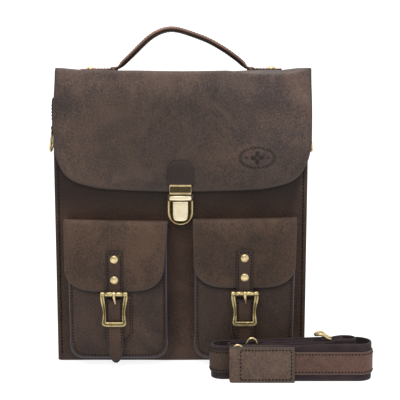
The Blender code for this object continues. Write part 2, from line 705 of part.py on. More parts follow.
def build_shoulder_strap():
    """Webbing with a leather strip on its outer face, coiled on edge, with its sheath, rings and hook."""
    metal = brass("strap")
    route = coil_route()
    webbing_height = WEBBING_Z[1] - WEBBING_Z[0]
    centre = (0, 0, (WEBBING_Z[0] + WEBBING_Z[1]) / 2)
    look = material("webbing", WEBBING, 0.9)
    plate("strap_webbing", [ribbon(route, WEBBING_THICKNESS)], webbing_height, centre, "flat", look)
    shift = -(WEBBING_THICKNESS / 2 + GAP + STRIP_THICKNESS / 2)
    strip_route = [(COIL_START_X + 2 * MM, route[0][1])] + route[1:-1] + [(COIL_END_X + 8 * MM, route[-1][1])]
    outline = ribbon(strip_route, STRIP_THICKNESS, shift)
    red = material("strap_leather", RED_LEATHER, 0.6)
    plate("strap_leather", [outline], STRIP_HEIGHT, (0, 0, centre[2] + 0.5 * MM), "flat", red)
    front_y = COIL_Y - COIL_RADII[0] + shift - STRIP_THICKNESS / 2 - GAP - SHEATH_THICKNESS / 2
    back_y = COIL_Y - COIL_RADII[0] + WEBBING_THICKNESS / 2 + GAP + SHEATH_THICKNESS / 2
    fold = (back_y - front_y) / 2
    middle = (back_y + front_y) / 2
    route = [(SHEATH_X[1], back_y)] + arc(SHEATH_X[0], middle, fold, 90, 270, 10) + [(SHEATH_X[1], front_y)]
    height = SHEATH_Z[1] - SHEATH_Z[0]
    centre_z = (SHEATH_Z[0] + SHEATH_Z[1]) / 2
    sheath = material("sheath_leather", (0.13, 0.10, 0.07), 0.6)
    plate("strap_sheath", [ribbon(route, SHEATH_THICKNESS)], height, (0, 0, centre_z), "flat", sheath)
    link_wire = 1.3 * MM
    link_height = 25.0 * MM
    link_z = link_height + 0.2 * MM
    half_height = link_height - link_wire
    wire("strap_ring", oval(66.0 * MM, middle, 3.6 * MM, half_height, link_z), link_wire, metal, closed=True)
    far = (92.0 * MM, COIL_Y + COIL_RADII[-1])
    wire("far_ring", oval(*far, 3.6 * MM, half_height, link_z), link_wire, metal, closed=True)
    build_hook(metal)


def build_hook(metal):
    """Snap hook lying on top of the webbing, and its gate."""
    x, y, z = 172 * MM, -116 * MM, WEBBING_Z[1] + 2.4 * MM
    hook_wire = 1.7 * MM
    long, short = 10.5 * MM, 6.5 * MM
    mouth = 50
    steps = 14
    points = []
    for i in range(steps + 1):
        angle = math.radians(-mouth - (360 - 2 * mouth) * i / steps)
        points.append((x + long * math.cos(angle), y + short * math.sin(angle), z))
    wire("snap_hook", points, hook_wire, metal)
    gate_x = points[0][0] + 1.0 * MM
    room = 2.1 * MM
    pivot = empty("gate_axis", (gate_x, points[0][1] + room, z))
    gate = [(gate_x, points[0][1] + room, z), (gate_x, points[-1][1] - room, z)]
    wire("hook_gate", gate, 0.8 * MM, metal, pivot)


def main():
    build_body()
    build_lining()
    hinge, fold = build_flap()
    fold.parent = hinge
    fold.matrix_parent_inverse = Matrix.Translation(-hinge.location)
    build_lock(fold)
    build_handle(hinge)
    build_side_rings()
    build_pocket("left", -1)
    build_pocket("right", 1)
    build_shoulder_strap()


main()
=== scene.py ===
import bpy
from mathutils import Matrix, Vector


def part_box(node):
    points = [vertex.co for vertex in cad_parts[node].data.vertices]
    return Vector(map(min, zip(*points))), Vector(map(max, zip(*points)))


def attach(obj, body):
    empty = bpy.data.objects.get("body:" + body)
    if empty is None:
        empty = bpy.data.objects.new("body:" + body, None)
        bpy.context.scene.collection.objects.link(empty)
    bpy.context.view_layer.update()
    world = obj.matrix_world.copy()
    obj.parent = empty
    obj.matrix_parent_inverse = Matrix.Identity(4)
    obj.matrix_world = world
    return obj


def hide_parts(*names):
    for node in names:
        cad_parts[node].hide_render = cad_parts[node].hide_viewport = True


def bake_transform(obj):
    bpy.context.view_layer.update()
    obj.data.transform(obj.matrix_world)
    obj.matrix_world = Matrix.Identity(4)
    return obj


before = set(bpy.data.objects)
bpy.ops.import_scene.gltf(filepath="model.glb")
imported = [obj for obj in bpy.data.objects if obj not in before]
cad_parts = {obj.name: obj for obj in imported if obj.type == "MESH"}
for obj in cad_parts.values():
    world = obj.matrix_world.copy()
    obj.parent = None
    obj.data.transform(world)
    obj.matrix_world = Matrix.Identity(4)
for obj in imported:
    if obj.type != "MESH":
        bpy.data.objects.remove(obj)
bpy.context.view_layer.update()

import math

import bmesh
import bpy
import numpy as np
from mathutils import Vector, noise

# Shapes below are in millimetres, and Form.piece() writes them in metres.
MM = 0.001
UP = np.array((0.0, 0.0, 1.0))
FRONT = np.array((0.0, -1.0, 0.0))
BACK = np.array((0.0, 1.0, 0.0))

# Distances from a cut edge at which a leather sheet gets a row of points.
EDGE_STEPS = (0.0, 0.6, 1.4, 2.1, 2.8, 3.5, 4.6, 6.5, 9.5)

BODY_HALF_DEPTH = 50.0
FLAP_THICKNESS = 3.0
FLAP_FACE_Y = -53.5
FLAP_TOP_Z = 365.5
FLAP_BEND = 6.0
FLAP_BEND_Z = FLAP_TOP_Z - FLAP_BEND
FLAP_HALF = 158.0
POCKET_X = 78.6
STRAP_X = 79.4
HANDLE_RIVET_X = 114.7
MARK_CENTRE = (92.0, 257.0)


# ---------------------------------------------------------------- numbers

def unit(vectors):
    """Return vectors scaled to length 1."""
    return vectors / np.maximum(np.linalg.norm(vectors, axis=-1, keepdims=True), 1e-9)


def smooth(low, high, values):
    """Return 0 below low, 1 above high, and an even rise between."""
    t = np.clip((np.asarray(values, float) - low) / (high - low), 0.0, 1.0)
    return t * t * (3 - 2 * t)


def hump(values, centre, width):
    """Return 1 at centre, falling away on both sides over about the width."""
    return np.exp(-((np.asarray(values, float) - centre) / width) ** 2)


def lumps(points, size, seed):
    """Return smooth noise of about -1 to 1 at each point, with features of the given size."""
    flat = np.asarray(points, float).reshape(-1, 3) / size + seed * 7.31
    values = [noise.noise(Vector(point)) for point in flat]
    return np.array(values).reshape(np.asarray(points).shape[:-1])


def spaced(length, step, edges=EDGE_STEPS, fine=()):
    """Return places from 0 to length, close together at both ends and in each (low, high, step) of fine."""
    edges = [place for place in edges if place < length / 2 - step * 0.2]
    last = edges[-1]
    count = max(1, math.ceil((length - 2 * last) / step))
    middle = np.linspace(last, length - last, count + 1)
    places = set(edges) | set(middle) | {length - place for place in edges}
    for low, high, close in fine:
        places = {place for place in places if not low < place < high}
        places |= set(np.linspace(low, high, math.ceil((high - low) / close) + 1))
    places = sorted(places)
    kept = [places[0]]
    for place in places[1:]:
        if place - kept[-1] > 0.12:
            kept.append(place)
    kept[-1] = length
    return np.array(kept)


def along(path):
    """Return the length of a path of points up to each of its points."""
    steps = np.linalg.norm(np.diff(path, axis=0), axis=1)
    return np.concatenate(([0.0], np.cumsum(steps)))


def resample(path, places):
    """Return the points of a path at the given lengths along it."""
    path = np.asarray(path, float)
    reach = along(path)
    return np.stack([np.interp(places, reach, path[:, k]) for k in range(path.shape[1])], axis=1)


def resample_like(values, path, places):
    """Return the values that belong to a path's points at the given lengths along it."""
    values = np.broadcast_to(np.asarray(values, float), path.shape)
    reach = along(path)
    return np.stack([np.interp(places, reach, values[:, k]) for k in range(3)], axis=1)


def xyz(x, y, z):
    """Return points from their three coordinates, each one number or an array."""
    return np.stack(np.broadcast_arrays(x, y, z), axis=-1)


def full_turn(count):
    """Return count angles spread evenly round a circle."""
    return np.linspace(0, 2 * math.pi, count, endpoint=False)


def arc(cx, cy, radius, start, end, steps):
    """Return an arc's points from its start to its end, both in degrees."""
    angles = np.radians(np.linspace(start, end, steps + 1))
    return np.stack([cx + radius * np.cos(angles), cy + radius * np.sin(angles)], axis=1)


def tangents(path, closed=False):
    """Return the direction of a path at each of its points."""
    if closed:
        return unit(np.roll(path, -1, axis=0) - np.roll(path, 1, axis=0))
    return unit(np.gradient(path, axis=0))


def even_loop(points, count):
    """Return count even places along a closed path."""
    closed = np.vstack([points, points[:1]])
    return resample(closed, np.linspace(0, along(closed)[-1], count + 1)[:-1])


def smooth_path(points, step):
    """Return a rounded path through points, resampled at about the given step."""
    points = np.asarray(points, float)
    for _ in range(3):
        cut = np.empty((2 * len(points) - 2, points.shape[1]))
        cut[0::2] = 0.75 * points[:-1] + 0.25 * points[1:]
        cut[1::2] = 0.25 * points[:-1] + 0.75 * points[1:]
        points = np.vstack([points[:1], cut, points[-1:]])
    reach = along(points)[-1]
    return resample(points, np.linspace(0, reach, max(2, round(reach / step)) + 1))


def smooth_loop(points, count):
    """Return a closed path rounded at its corners, at the given number of even places."""
    points = np.asarray(points, float)
    for _ in range(2):
        after = np.roll(points, -1, axis=0)
        pairs = np.stack([0.75 * points + 0.25 * after, 0.25 * points + 0.75 * after], axis=1)
        points = pairs.reshape(-1, 3)
    return even_loop(points, count)


# ---------------------------------------------------------------- meshes

class Form:
    """Points and faces of one piece, with the wear of each point, its shade (painted light and painted shade,
    and tone), and its place along a strap.
    """

    def __init__(self):
        self.points = []
        self.faces = []
        self.wear = []
        self.weave = []
        self.shade = []
        self.count = 0

    def add(self, points, faces, wear=None, weave=None, shade=None):
        points = np.asarray(points, float).reshape(-1, 3)
        self.points.append(points)
        self.faces += [tuple(index + self.count for index in face) for face in faces]
        self.wear.append(np.zeros(len(points)) if wear is None else np.asarray(wear, float).ravel())
        self.weave.append(points[:, [0, 2]] if weave is None else np.asarray(weave, float).reshape(-1, 2))
        self.shade.append(np.zeros(len(points)) if shade is None else np.asarray(shade, float).ravel())
        self.count += len(points)

    def tube(self, rings, wear=None, weave=None, shade=None):
        """Add closed sections joined one to the next, with a flat cap at each end."""
        grid = np.asarray(rings, float)
        rows, cols = grid.shape[:2]
        last = (rows - 1) * cols
        faces = strips(rows, cols, wrap=True)
        faces.append(tuple(range(cols))[::-1])
        faces.append(tuple(last + j for j in range(cols)))
        self.add(grid, faces, wear, weave, shade)

    def piece(self, name, look, body, slot, replaces=(), angle=42):
        """Make the mesh object, in metres, with its material; hang it on its body when body is one name, and
        hide the CAD parts it replaces.
        """
        points = np.concatenate(self.points) * MM
        mesh = bpy.data.meshes.new(name)
        mesh.from_pydata(points.tolist(), [], self.faces)
        form = bmesh.new()
        form.from_mesh(mesh)
        bmesh.ops.recalc_face_normals(form, faces=form.faces)
        form.to_mesh(mesh)
        form.free()
        place = mesh.attributes.new("place", "FLOAT_VECTOR", "POINT")
        place.data.foreach_set("vector", points.ravel())
        for name_of, values in (("wear", self.wear), ("shade", self.shade)):
            attribute = mesh.attributes.new(name_of, "FLOAT", "POINT")
            attribute.data.foreach_set("value", np.concatenate(values))
        weave = mesh.attributes.new("weave", "FLOAT_VECTOR", "POINT")
        flat = np.concatenate(self.weave) * MM
        weave.data.foreach_set("vector", np.c_[flat, np.zeros(len(flat))].ravel())
        mesh.shade_smooth()
        mesh.set_sharp_from_angle(angle=math.radians(angle))
        obj = bpy.data.objects.new(name, mesh)
        bpy.context.scene.collection.objects.link(obj)
        obj.data.materials.append(look)
        if isinstance(body, str):
            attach(obj, body)
        else:
            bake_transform(obj)
        if replaces:
            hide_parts(*replaces)
        return obj


def strips(rows, cols, wrap=False):
    """Return the quads of a grid numbered row by row. With wrap, its last column joins its first."""
    faces = []
    for i in range(rows - 1):
        for j in range(cols if wrap else cols - 1):
            k = (j + 1) % cols
            faces.append((i * cols + j, i * cols + k, (i + 1) * cols + k, (i + 1) * cols + j))
    return faces


def normals_of(grid, facing):
    """Return the grid's unit normals, turned so that the one in its middle points towards facing."""
    normal = unit(np.cross(np.gradient(grid, axis=1), np.gradient(grid, axis=0)))
    rows, cols = grid.shape[:2]
    return -normal if normal[rows // 2, cols // 2] @ facing < 0 else normal


def edge_distance(grid, flat=()):
    """Return each point's distance from the nearest side of the grid, leaving out the sides in flat."""
    down = np.linalg.norm(np.diff(grid, axis=0), axis=2)
    across = np.linalg.norm(np.diff(grid, axis=1), axis=2)
    zero_row = np.zeros((1, grid.shape[1]))
    zero_col = np.zeros((grid.shape[0], 1))
    sides = {
        "first_row": np.vstack([zero_row, np.cumsum(down, axis=0)]),
        "last_row": np.vstack([np.cumsum(down[::-1], axis=0)[::-1], zero_row]),
        "first_col": np.hstack([zero_col, np.cumsum(across, axis=1)]),
        "last_col": np.hstack([np.cumsum(across[:, ::-1], axis=1)[:, ::-1], zero_col]),
    }
    return np.min([distance for side, distance in sides.items() if side not in flat], axis=0)


def sheet(outer, thickness, facing, flat=(), seam=None, weave=None, shade=None, rim_wear=1.3):
    """Return a leather sheet with round cut edges, whose outer face runs through the grid of points.

    The sides in flat are cut square, to meet another sheet. seam is a sewn groove's distance from the edge.
    """
    rows, cols = outer.shape[:2]
    normal = normals_of(outer, facing)
    distance = edge_distance(outer, flat)
    outer = outer - normal * (0.25 * hump(distance, 0.0, 0.9))[..., None]
    shade = np.zeros((rows, cols)) if shade is None else shade
    if seam is not None:
        outer = outer - normal * (0.25 * hump(distance, seam, 0.9))[..., None]
        # Darker along the sewn groove.
        shade = shade + 0.2 * hump(distance, seam, 1.0)
    inner = outer - normal * thickness
    wear = hump(distance, 0.0, 2.2) * min(1.0, rim_wear)
    if weave is None:
        weave = outer[..., [0, 2]]
    loop = [(0, j) for j in range(cols)]
    loop += [(i, cols - 1) for i in range(1, rows)]
    loop += [(rows - 1, j) for j in range(cols - 2, -1, -1)]
    loop += [(i, 0) for i in range(rows - 2, 0, -1)]
    rim_points = np.array([outer[place] for place in loop])
    rim_normals = np.array([normal[place] for place in loop])
    tangent = np.roll(rim_points, -1, axis=0) - np.roll(rim_points, 1, axis=0)
    out = unit(np.cross(tangent, rim_normals))
    if np.sum(out * (rim_points - rim_points.mean(axis=0))) < 0:
        out = -out
    last_row = rows - 1
    last_col = cols - 1
    sides = {
        "first_row": (0, None), "last_row": (last_row, None),
        "first_col": (None, 0), "last_col": (None, last_col),
    }
    for side in flat:
        row, col = sides[side]
        for k, (i, j) in enumerate(loop):
            if i == row or j == col:
                out[k] = 0.0
    half = thickness / 2
    size = rows * cols
    count = len(loop)
    steps = 6
    rings = []
    for k in range(1, steps):
        angle = math.pi * k / steps
        rings.append(rim_points - rim_normals * half * (1 - math.cos(angle)) + out * half * math.sin(angle))
    points = np.concatenate([outer.reshape(-1, 3), inner.reshape(-1, 3)] + rings)
    ring_weave = np.concatenate([np.array([weave[place] for place in loop])] * (steps - 1))
    weaves = np.concatenate([weave.reshape(-1, 2), weave.reshape(-1, 2), ring_weave])
    wears = np.concatenate([wear.ravel(), 0 * wear.ravel() + 0.2, np.full(count * (steps - 1), rim_wear)])
    shades = np.concatenate([shade.ravel(), 0 * shade.ravel(), np.zeros(count * (steps - 1))])
    faces = strips(rows, cols)
    faces += [tuple(index + size for index in face[::-1]) for face in strips(rows, cols)]
    rim = [[i * cols + j for i, j in loop]]
    for k in range(steps - 1):
        rim.append([2 * size + k * count + m for m in range(count)])
    rim.append([size + i * cols + j for i, j in loop])
    for first, second in zip(rim[:-1], rim[1:]):
        for m in range(count):
            n = (m + 1) % count
            faces.append((first[m], first[n], second[n], second[m]))
    form = Form()
    form.add(points, faces, wears, weaves, shades)
    return form


def tongue(top, bottom, half, curve, step, top_corner=0.0):
    """Return (x, z) grids of a flat panel whose lower boundary is curve, a path from left to right.

    half is the half width at the top, and the first and last points of curve lie on the sides.
    """
    reach = along(curve)
    places = spaced(reach[-1], step)
    low = resample(curve, places)
    share = places / reach[-1]
    even = half * (2 * share - 1)
    top_x = 0.8 * np.interp(low[:, 0], (curve[0, 0], curve[-1, 0]), (-half, half)) + 0.2 * even
    top_z = np.full_like(top_x, top)
    if top_corner:
        inside = np.maximum(0.0, np.abs(top_x) - (half - top_corner))
        top_z = top - top_corner + np.sqrt(np.maximum(0.0, top_corner ** 2 - inside ** 2))
    rows = spaced(top - bottom, step) / (top - bottom)
    x = top_x[None, :] + (low[:, 0] - top_x)[None, :] * rows[:, None]
    z = top_z[None, :] + (low[:, 1] - top_z)[None, :] * rows[:, None]
    return x, z


def sweep(form, path, side, lift, section, scale=None, shade=0.0):
    """Add a closed section carried along a path, with its two directions side and lift at each point.

    shade is one number, one for each point of the section, or one for each step and point.
    """
    scale = np.ones(len(path)) if scale is None else scale
    rings = []
    for place, across, up, size in zip(path, side, lift, scale):
        offset = section[:, :1] * across + section[:, 1:] * up
        rings.append(place + offset * size)
    form.tube(rings, shade=np.broadcast_to(shade, (len(path), len(section))))


def stitches(form, path, normals, pitch=4.0, length=2.0, radius=0.74, rise=0.05):
    """Add a row of thread stitches along a path on a surface."""
    path = np.asarray(path, float)
    reach = along(path)[-1]
    count = int(reach // pitch)
    places = (np.arange(count) + 0.5) * reach / count
    centres = resample(path, places)
    after = resample(path, np.minimum(places + 0.4, reach))
    before = resample(path, np.maximum(places - 0.4, 0.0))
    ahead = unit(after - before)
    lifts = unit(resample_like(normals, path, places))
    shape = ((-0.5, 0.25), (-0.36, 0.85), (0.0, 1.0), (0.36, 0.85), (0.5, 0.25))
    angles = full_turn(6)[:, None]
    for centre, forward, lift in zip(centres, ahead, lifts):
        section = np.cross(lift, forward) * np.cos(angles) + lift * (np.sin(angles) * 0.8)
        rings = []
        for place, size in shape:
            height = rise + 0.18 * (1 - (2 * place) ** 2)
            rings.append(centre + forward * place * length + section * radius * size + lift * height)
        form.tube(rings)


# ---------------------------------------------------------------- materials

class Look:
    """One node material, built with short calls."""

    def __init__(self, name):
        self.material = bpy.data.materials.new(name)
        self.material.use_nodes = True
        self.tree = self.material.node_tree
        self.tree.nodes.clear()
        self.output = self.add("ShaderNodeOutputMaterial")
        self.shader = self.add("ShaderNodeBsdfPrincipled")
        self.tree.links.new(self.shader.outputs[0], self.output.inputs["Surface"])

    def add(self, kind, **settings):
        node = self.tree.nodes.new(kind)
        for key, value in settings.items():
            setattr(node, key, value)
        return node

    def link(self, source, target):
        self.tree.links.new(source, target)

    def set(self, **values):
        for key, value in values.items():
            self.shader.inputs[key.replace("_", " ")].default_value = value

    def attribute(self, name):
        return self.add("ShaderNodeAttribute", attribute_name=name)

    def stretched(self, vector, scale):
        node = self.add("ShaderNodeVectorMath", operation="MULTIPLY")
        self.link(vector, node.inputs[0])
        node.inputs[1].default_value = scale
        return node.outputs[0]

    def noise(self, vector, scale, detail=3.0, roughness=0.55, distortion=0.0):
        node = self.add("ShaderNodeTexNoise")
        node.inputs["Scale"].default_value = scale
        node.inputs["Detail"].default_value = detail
        node.inputs["Roughness"].default_value = roughness
        node.inputs["Distortion"].default_value = distortion
        self.link(vector, node.inputs["Vector"])
        return node.outputs[0]

    def cells(self, vector, scale, feature="F1"):
        node = self.add("ShaderNodeTexVoronoi", feature=feature)
        node.inputs["Scale"].default_value = scale
        self.link(vector, node.inputs["Vector"])
        return node.outputs[0]

    def ramp(self, value, low, high, start=0.0, end=1.0):
        node = self.add("ShaderNodeMapRange", clamp=True)
        for key, number in (("From Min", low), ("From Max", high), ("To Min", start), ("To Max", end)):
            node.inputs[key].default_value = number
        self.link(value, node.inputs["Value"])
        return node.outputs[0]

    def math(self, operation, first, second):
        node = self.add("ShaderNodeMath", operation=operation)
        for socket, value in zip(node.inputs, (first, second)):
            if isinstance(value, (int, float)):
                socket.default_value = value
            else:
                self.link(value, socket)
        return node.outputs[0]

    def mix(self, share, first, second, blend="MIX"):
        node = self.add("ShaderNodeMix", data_type="RGBA", blend_type=blend)
        for socket, value in zip((node.inputs[0], node.inputs[6], node.inputs[7]), (share, first, second)):
            if isinstance(value, (int, float)):
                socket.default_value = value
            elif isinstance(value, tuple):
                socket.default_value = (*value, 1.0)
            else:
                self.link(value, socket)
        return node.outputs[2]

    def bump(self, height, distance, strength=1.0, below=None):
        node = self.add("ShaderNodeBump")
        node.inputs["Distance"].default_value = distance
        node.inputs["Strength"].default_value = strength
        self.link(height, node.inputs["Height"])
        if below is not None:
            self.link(below, node.inputs["Normal"])
        return node.outputs[0]


# PALER and DARKER scale the leather's colour where the shade attribute is below or above 0. It carries
# painted light and painted shadow, as well as pressed marks and the leather's own paler and darker tone.
PALER = (1.75, 1.78, 1.85)
DARKER = (0.30, 0.28, 0.28)


def leather(name, dark, light, scuff, edge, grain=1.0, rough=0.62, patch=0.5):
    """Waxed pull-up leather: cloudy colour, speckled grain, lighter scuffs and burnished cut edges."""
    look = Look(name)
    place = look.attribute("place").outputs["Vector"]
    tall = look.stretched(place, (1.0, 1.0, 0.62))
    cloud = look.noise(place, 13.0, 3.0, 0.5, 0.4)
    mottle = look.noise(tall, 46.0, 4.0, 0.62, 0.8)
    speck = look.noise(look.stretched(place, (1.0, 1.0, 0.85)), 600.0, 2.0, 0.8, 0.4)
    fine = look.noise(place, 1500.0, 2.0, 0.6)
    pebble = look.cells(tall, 520.0, "SMOOTH_F1")
    clouded = look.ramp(cloud, 0.32, 0.70, -0.12, 0.55)
    tone = look.math("ADD", clouded, look.ramp(mottle, 0.3, 0.7, 0.0, 0.36))
    tone = look.math("ADD", tone, look.ramp(speck, 0.34, 0.66, -0.45 * grain, 0.55 * grain))
    colour = look.mix(tone, dark, light)
    scuffed = look.noise(look.stretched(place, (1.0, 1.0, 0.8)), 21.0, 5.0, 0.6, 1.2)
    colour = look.mix(look.ramp(scuffed, 0.5, 0.74, 0.0, patch), colour, scuff)
    pits = look.ramp(pebble, 0.0, 0.34, 0.72, 1.0)
    colour = look.mix(0.55 * grain, colour, look.mix(1.0, colour, pits, "MULTIPLY"))
    # Painted light and shade: a shade below 0 pales the colour, above 0 darkens it.
    shade = look.attribute("shade").outputs["Fac"]
    colour = look.mix(look.ramp(shade, -1.0, 0.0, 1.0, 0.0), colour, look.mix(1.0, colour, PALER, "MULTIPLY"))
    colour = look.mix(look.ramp(shade, 0.0, 1.0), colour, look.mix(1.0, colour, DARKER, "MULTIPLY"))
    wear = look.attribute("wear").outputs["Fac"]
    colour = look.mix(look.ramp(wear, 0.15, 1.1, 0.0, 0.92), colour, edge)
    look.link(colour, look.shader.inputs["Base Color"])
    even = look.ramp(mottle, 0.3, 0.7, rough - 0.07, rough + 0.06)
    gloss = look.math("ADD", even, look.ramp(speck, 0.3, 0.7, -0.06, 0.07))
    look.link(gloss, look.shader.inputs["Roughness"])
    creases = look.noise(tall, 95.0, 4.0, 0.6, 1.0)
    normal = look.bump(creases, 0.0011, 0.55)
    normal = look.bump(speck, 0.0006 * grain, 0.7, normal)
    normal = look.bump(pebble, 0.0006 * grain, 0.75, normal)
    normal = look.bump(fine, 0.00012, 0.6, normal)
    look.link(normal, look.shader.inputs["Normal"])
    look.set(Specular_IOR_Level=0.24, Sheen_Weight=0.02, Sheen_Roughness=0.5)
    return look.material


def brass(name, colour, dirt, rough=0.3, from_object=False, amount=0.6):
    """Antiqued brass: brushed, with dark wax left in the hollows and small scratches; the shade attribute
    also paints shade and dark reflections on it.
    """
    look = Look(name)
    if from_object:
        place = look.add("ShaderNodeTexCoord").outputs["Object"]
    else:
        place = look.attribute("place").outputs["Vector"]
    cloud = look.noise(place, 160.0, 4.0, 0.6, 0.5)
    brushed = look.noise(look.stretched(place, (1.0, 1.0, 0.12)), 1800.0, 2.0, 0.6)
    spots = look.noise(place, 620.0, 3.0, 0.65)
    clouded = look.ramp(cloud, 0.42, 0.72, 0.0, amount)
    share = look.math("ADD", clouded, look.ramp(spots, 0.55, 0.75, 0.0, 0.3))
    colour = look.mix(share, colour, dirt)
    # Darker where the shade attribute is high: dark wax in hollows, painted shade and painted dark
    # reflections.
    if not from_object:
        shade = look.ramp(look.attribute("shade").outputs["Fac"], 0.0, 1.0)
        colour = look.mix(shade, colour, look.mix(1.0, colour, (0.12, 0.10, 0.07), "MULTIPLY"))
    look.link(colour, look.shader.inputs["Base Color"])
    even = look.ramp(cloud, 0.3, 0.7, rough - 0.05, rough + 0.1)
    gloss = look.math("ADD", even, look.ramp(brushed, 0.3, 0.7, -0.04, 0.06))
    look.link(gloss, look.shader.inputs["Roughness"])
    normal = look.bump(spots, 0.00012, 0.35)
    normal = look.bump(brushed, 0.00005, 0.5, normal)
    look.link(normal, look.shader.inputs["Normal"])
    look.set(Metallic=1.0)
    return look.material


def woven(name, dark, light, rib, pitch):
    """Close cotton webbing: ribs across the strap, twisted yarns along it, and a soft fuzz."""
    look = Look(name)
    weave = look.attribute("weave").outputs["Vector"]
    place = look.attribute("place").outputs["Vector"]
    yarns = look.add("ShaderNodeTexWave", wave_type="BANDS", bands_direction="DIAGONAL")
    yarns.inputs["Scale"].default_value = rib
    yarns.inputs["Distortion"].default_value = 1.2
    yarns.inputs["Detail"].default_value = 2.0
    look.link(weave, yarns.inputs["Vector"])
    across = look.add("ShaderNodeTexWave", wave_type="BANDS", bands_direction="Y")
    across.inputs["Scale"].default_value = pitch
    across.inputs["Distortion"].default_value = 0.6
    look.link(weave, across.inputs["Vector"])
    threads = look.math("MULTIPLY", yarns.outputs[1], across.outputs[1])
    cloud = look.noise(place, 60.0, 4.0, 0.6)
    fuzz = look.noise(place, 1300.0, 2.0, 0.7)
    tone = look.math("ADD", look.ramp(threads, 0.0, 0.9, 0.0, 0.65), look.ramp(cloud, 0.3, 0.7, -0.15, 0.3))
    colour = look.mix(look.math("ADD", tone, look.ramp(fuzz, 0.3, 0.7, -0.1, 0.15)), dark, light)
    wear = look.attribute("wear").outputs["Fac"]
    colour = look.mix(look.ramp(wear, 0.1, 1.2, 0.0, 0.35), colour, light)
    look.link(colour, look.shader.inputs["Base Color"])
    normal = look.bump(threads, 0.0004, 0.8)
    normal = look.bump(fuzz, 0.0002, 0.5, normal)
    look.link(normal, look.shader.inputs["Normal"])
    look.set(Roughness=0.92, Specular_IOR_Level=0.12, Sheen_Weight=0.08, Sheen_Roughness=0.5)
    return look.material


def thread(name, dark, light):
    """Dull waxed thread with a faint twist."""
    look = Look(name)
    place = look.attribute("place").outputs["Vector"]
    twist = look.noise(place, 2600.0, 2.0, 0.5)
    look.link(look.mix(look.ramp(twist, 0.35, 0.65), dark, light), look.shader.inputs["Base Color"])
    look.link(look.bump(twist, 0.0001, 0.6), look.shader.inputs["Normal"])
    look.set(Roughness=0.85, Specular_IOR_Level=0.08)
    return look.material


FLAP = leather(
    "waxed_brown_leather", dark=(0.0215, 0.0158, 0.015), light=(0.074, 0.0455, 0.033),
    scuff=(0.09, 0.0597, 0.0459), edge=(0.05, 0.037, 0.032),
)
BODY = leather(
    "dark_brown_leather", dark=(0.0224, 0.0119, 0.0084), light=(0.0576, 0.029, 0.0186),
    scuff=(0.068, 0.0363, 0.0228), edge=(0.04, 0.0277, 0.0264), rough=0.6,
)
POCKET = leather(
    "pocket_brown_leather", dark=(0.0208, 0.0124, 0.0099), light=(0.0598, 0.0345, 0.0249),
    scuff=(0.0702, 0.0405, 0.0282), edge=(0.062, 0.057, 0.072),
)
LID = leather(
    "lid_brown_leather", dark=(0.026, 0.0152, 0.0107), light=(0.078, 0.0437, 0.0275),
    scuff=(0.0962, 0.0529, 0.0301), edge=(0.05, 0.036, 0.029),
)
STRAP = leather(
    "strap_brown_leather", dark=(0.0268, 0.0154, 0.0115), light=(0.0703, 0.0388, 0.025),
    scuff=(0.0804, 0.0456, 0.03), edge=(0.0214, 0.0154, 0.014), grain=0.7,
)
TAB = leather(
    "tab_dark_leather", dark=(0.0176, 0.0115, 0.0099), light=(0.0374, 0.023, 0.0187),
    scuff=(0.0462, 0.0288, 0.0231), edge=(0.028, 0.022, 0.021), grain=0.7,
)
HANDLE = leather(
    "handle_brown_leather", dark=(0.087, 0.0439, 0.0303), light=(0.253, 0.1292, 0.0809),
    scuff=(0.3478, 0.1808, 0.1124), edge=(0.0174, 0.0122, 0.0116), grain=0.8,
)
RED = leather(
    "reddish_brown_leather", dark=(0.052, 0.0275, 0.0201), light=(0.1222, 0.0625, 0.0466),
    scuff=(0.1482, 0.08, 0.0583), edge=(0.085, 0.052, 0.042), grain=0.8,
)
SHEATH = leather(
    "olive_brown_leather", dark=(0.0553, 0.0342, 0.0258), light=(0.13, 0.0844, 0.06),
    scuff=(0.169, 0.1083, 0.075), edge=(0.062, 0.048, 0.038), grain=1.0,
)
BRASS = brass("antique_brass", colour=(0.696, 0.553, 0.3024), dirt=(0.261, 0.1896, 0.0792))
PALE_BRASS = brass(
    "satin_brass", colour=(0.7998, 0.7052, 0.5016), dirt=(0.602, 0.492, 0.2888), rough=0.34, amount=0.3,
)
BUCKLE_BRASS = brass(
    "buckle_brass", colour=(0.56, 0.45, 0.225), dirt=(0.1, 0.075, 0.032), rough=0.27, amount=0.5,
)
OLIVE_BRASS = brass(
    "darkened_brass", colour=(0.072, 0.0578, 0.0306), dirt=(0.036, 0.0289, 0.0153), rough=0.42,
)
CAD_BRASS = brass(
    "antique_brass_parts", colour=(0.696, 0.553, 0.3024), dirt=(0.261, 0.1896, 0.0792),
    from_object=True,
)
CAD_OLIVE = brass(
    "darkened_brass_parts", colour=(0.12, 0.10, 0.06), dirt=(0.05, 0.042, 0.03), rough=0.5,
    from_object=True,
)
STEEL = brass("spring_steel", colour=(0.5, 0.5, 0.5), dirt=(0.25, 0.25, 0.26), from_object=True, amount=0.3)
WEBBING = woven(
    "dark_webbing", dark=(0.0199, 0.0129, 0.0143), light=(0.0645, 0.0439, 0.0482), rib=330.0,
    pitch=420.0,
)
LINING = woven("lining_cotton", dark=(0.10, 0.082, 0.066), light=(0.21, 0.18, 0.15), rib=420.0, pitch=520.0)
THREAD = thread("dark_thread", dark=(0.004, 0.003, 0.003), light=(0.014, 0.011, 0.011))


# ---------------------------------------------------------------- metal shapes

def bar(form, profile, half, bevel):
    """Add a bar along X with the given (y, z) profile and bevelled ends."""
    profile = np.array(profile)
    away = unit(profile - profile.mean(axis=0))
    rings = []
    for x, shrink in ((-half, bevel), (-half + bevel, 0.0), (half - bevel, 0.0), (half, bevel)):
        ring = profile - away * shrink
        rings.append(xyz(x, ring[:, 0], ring[:, 1]))
    form.tube(rings)


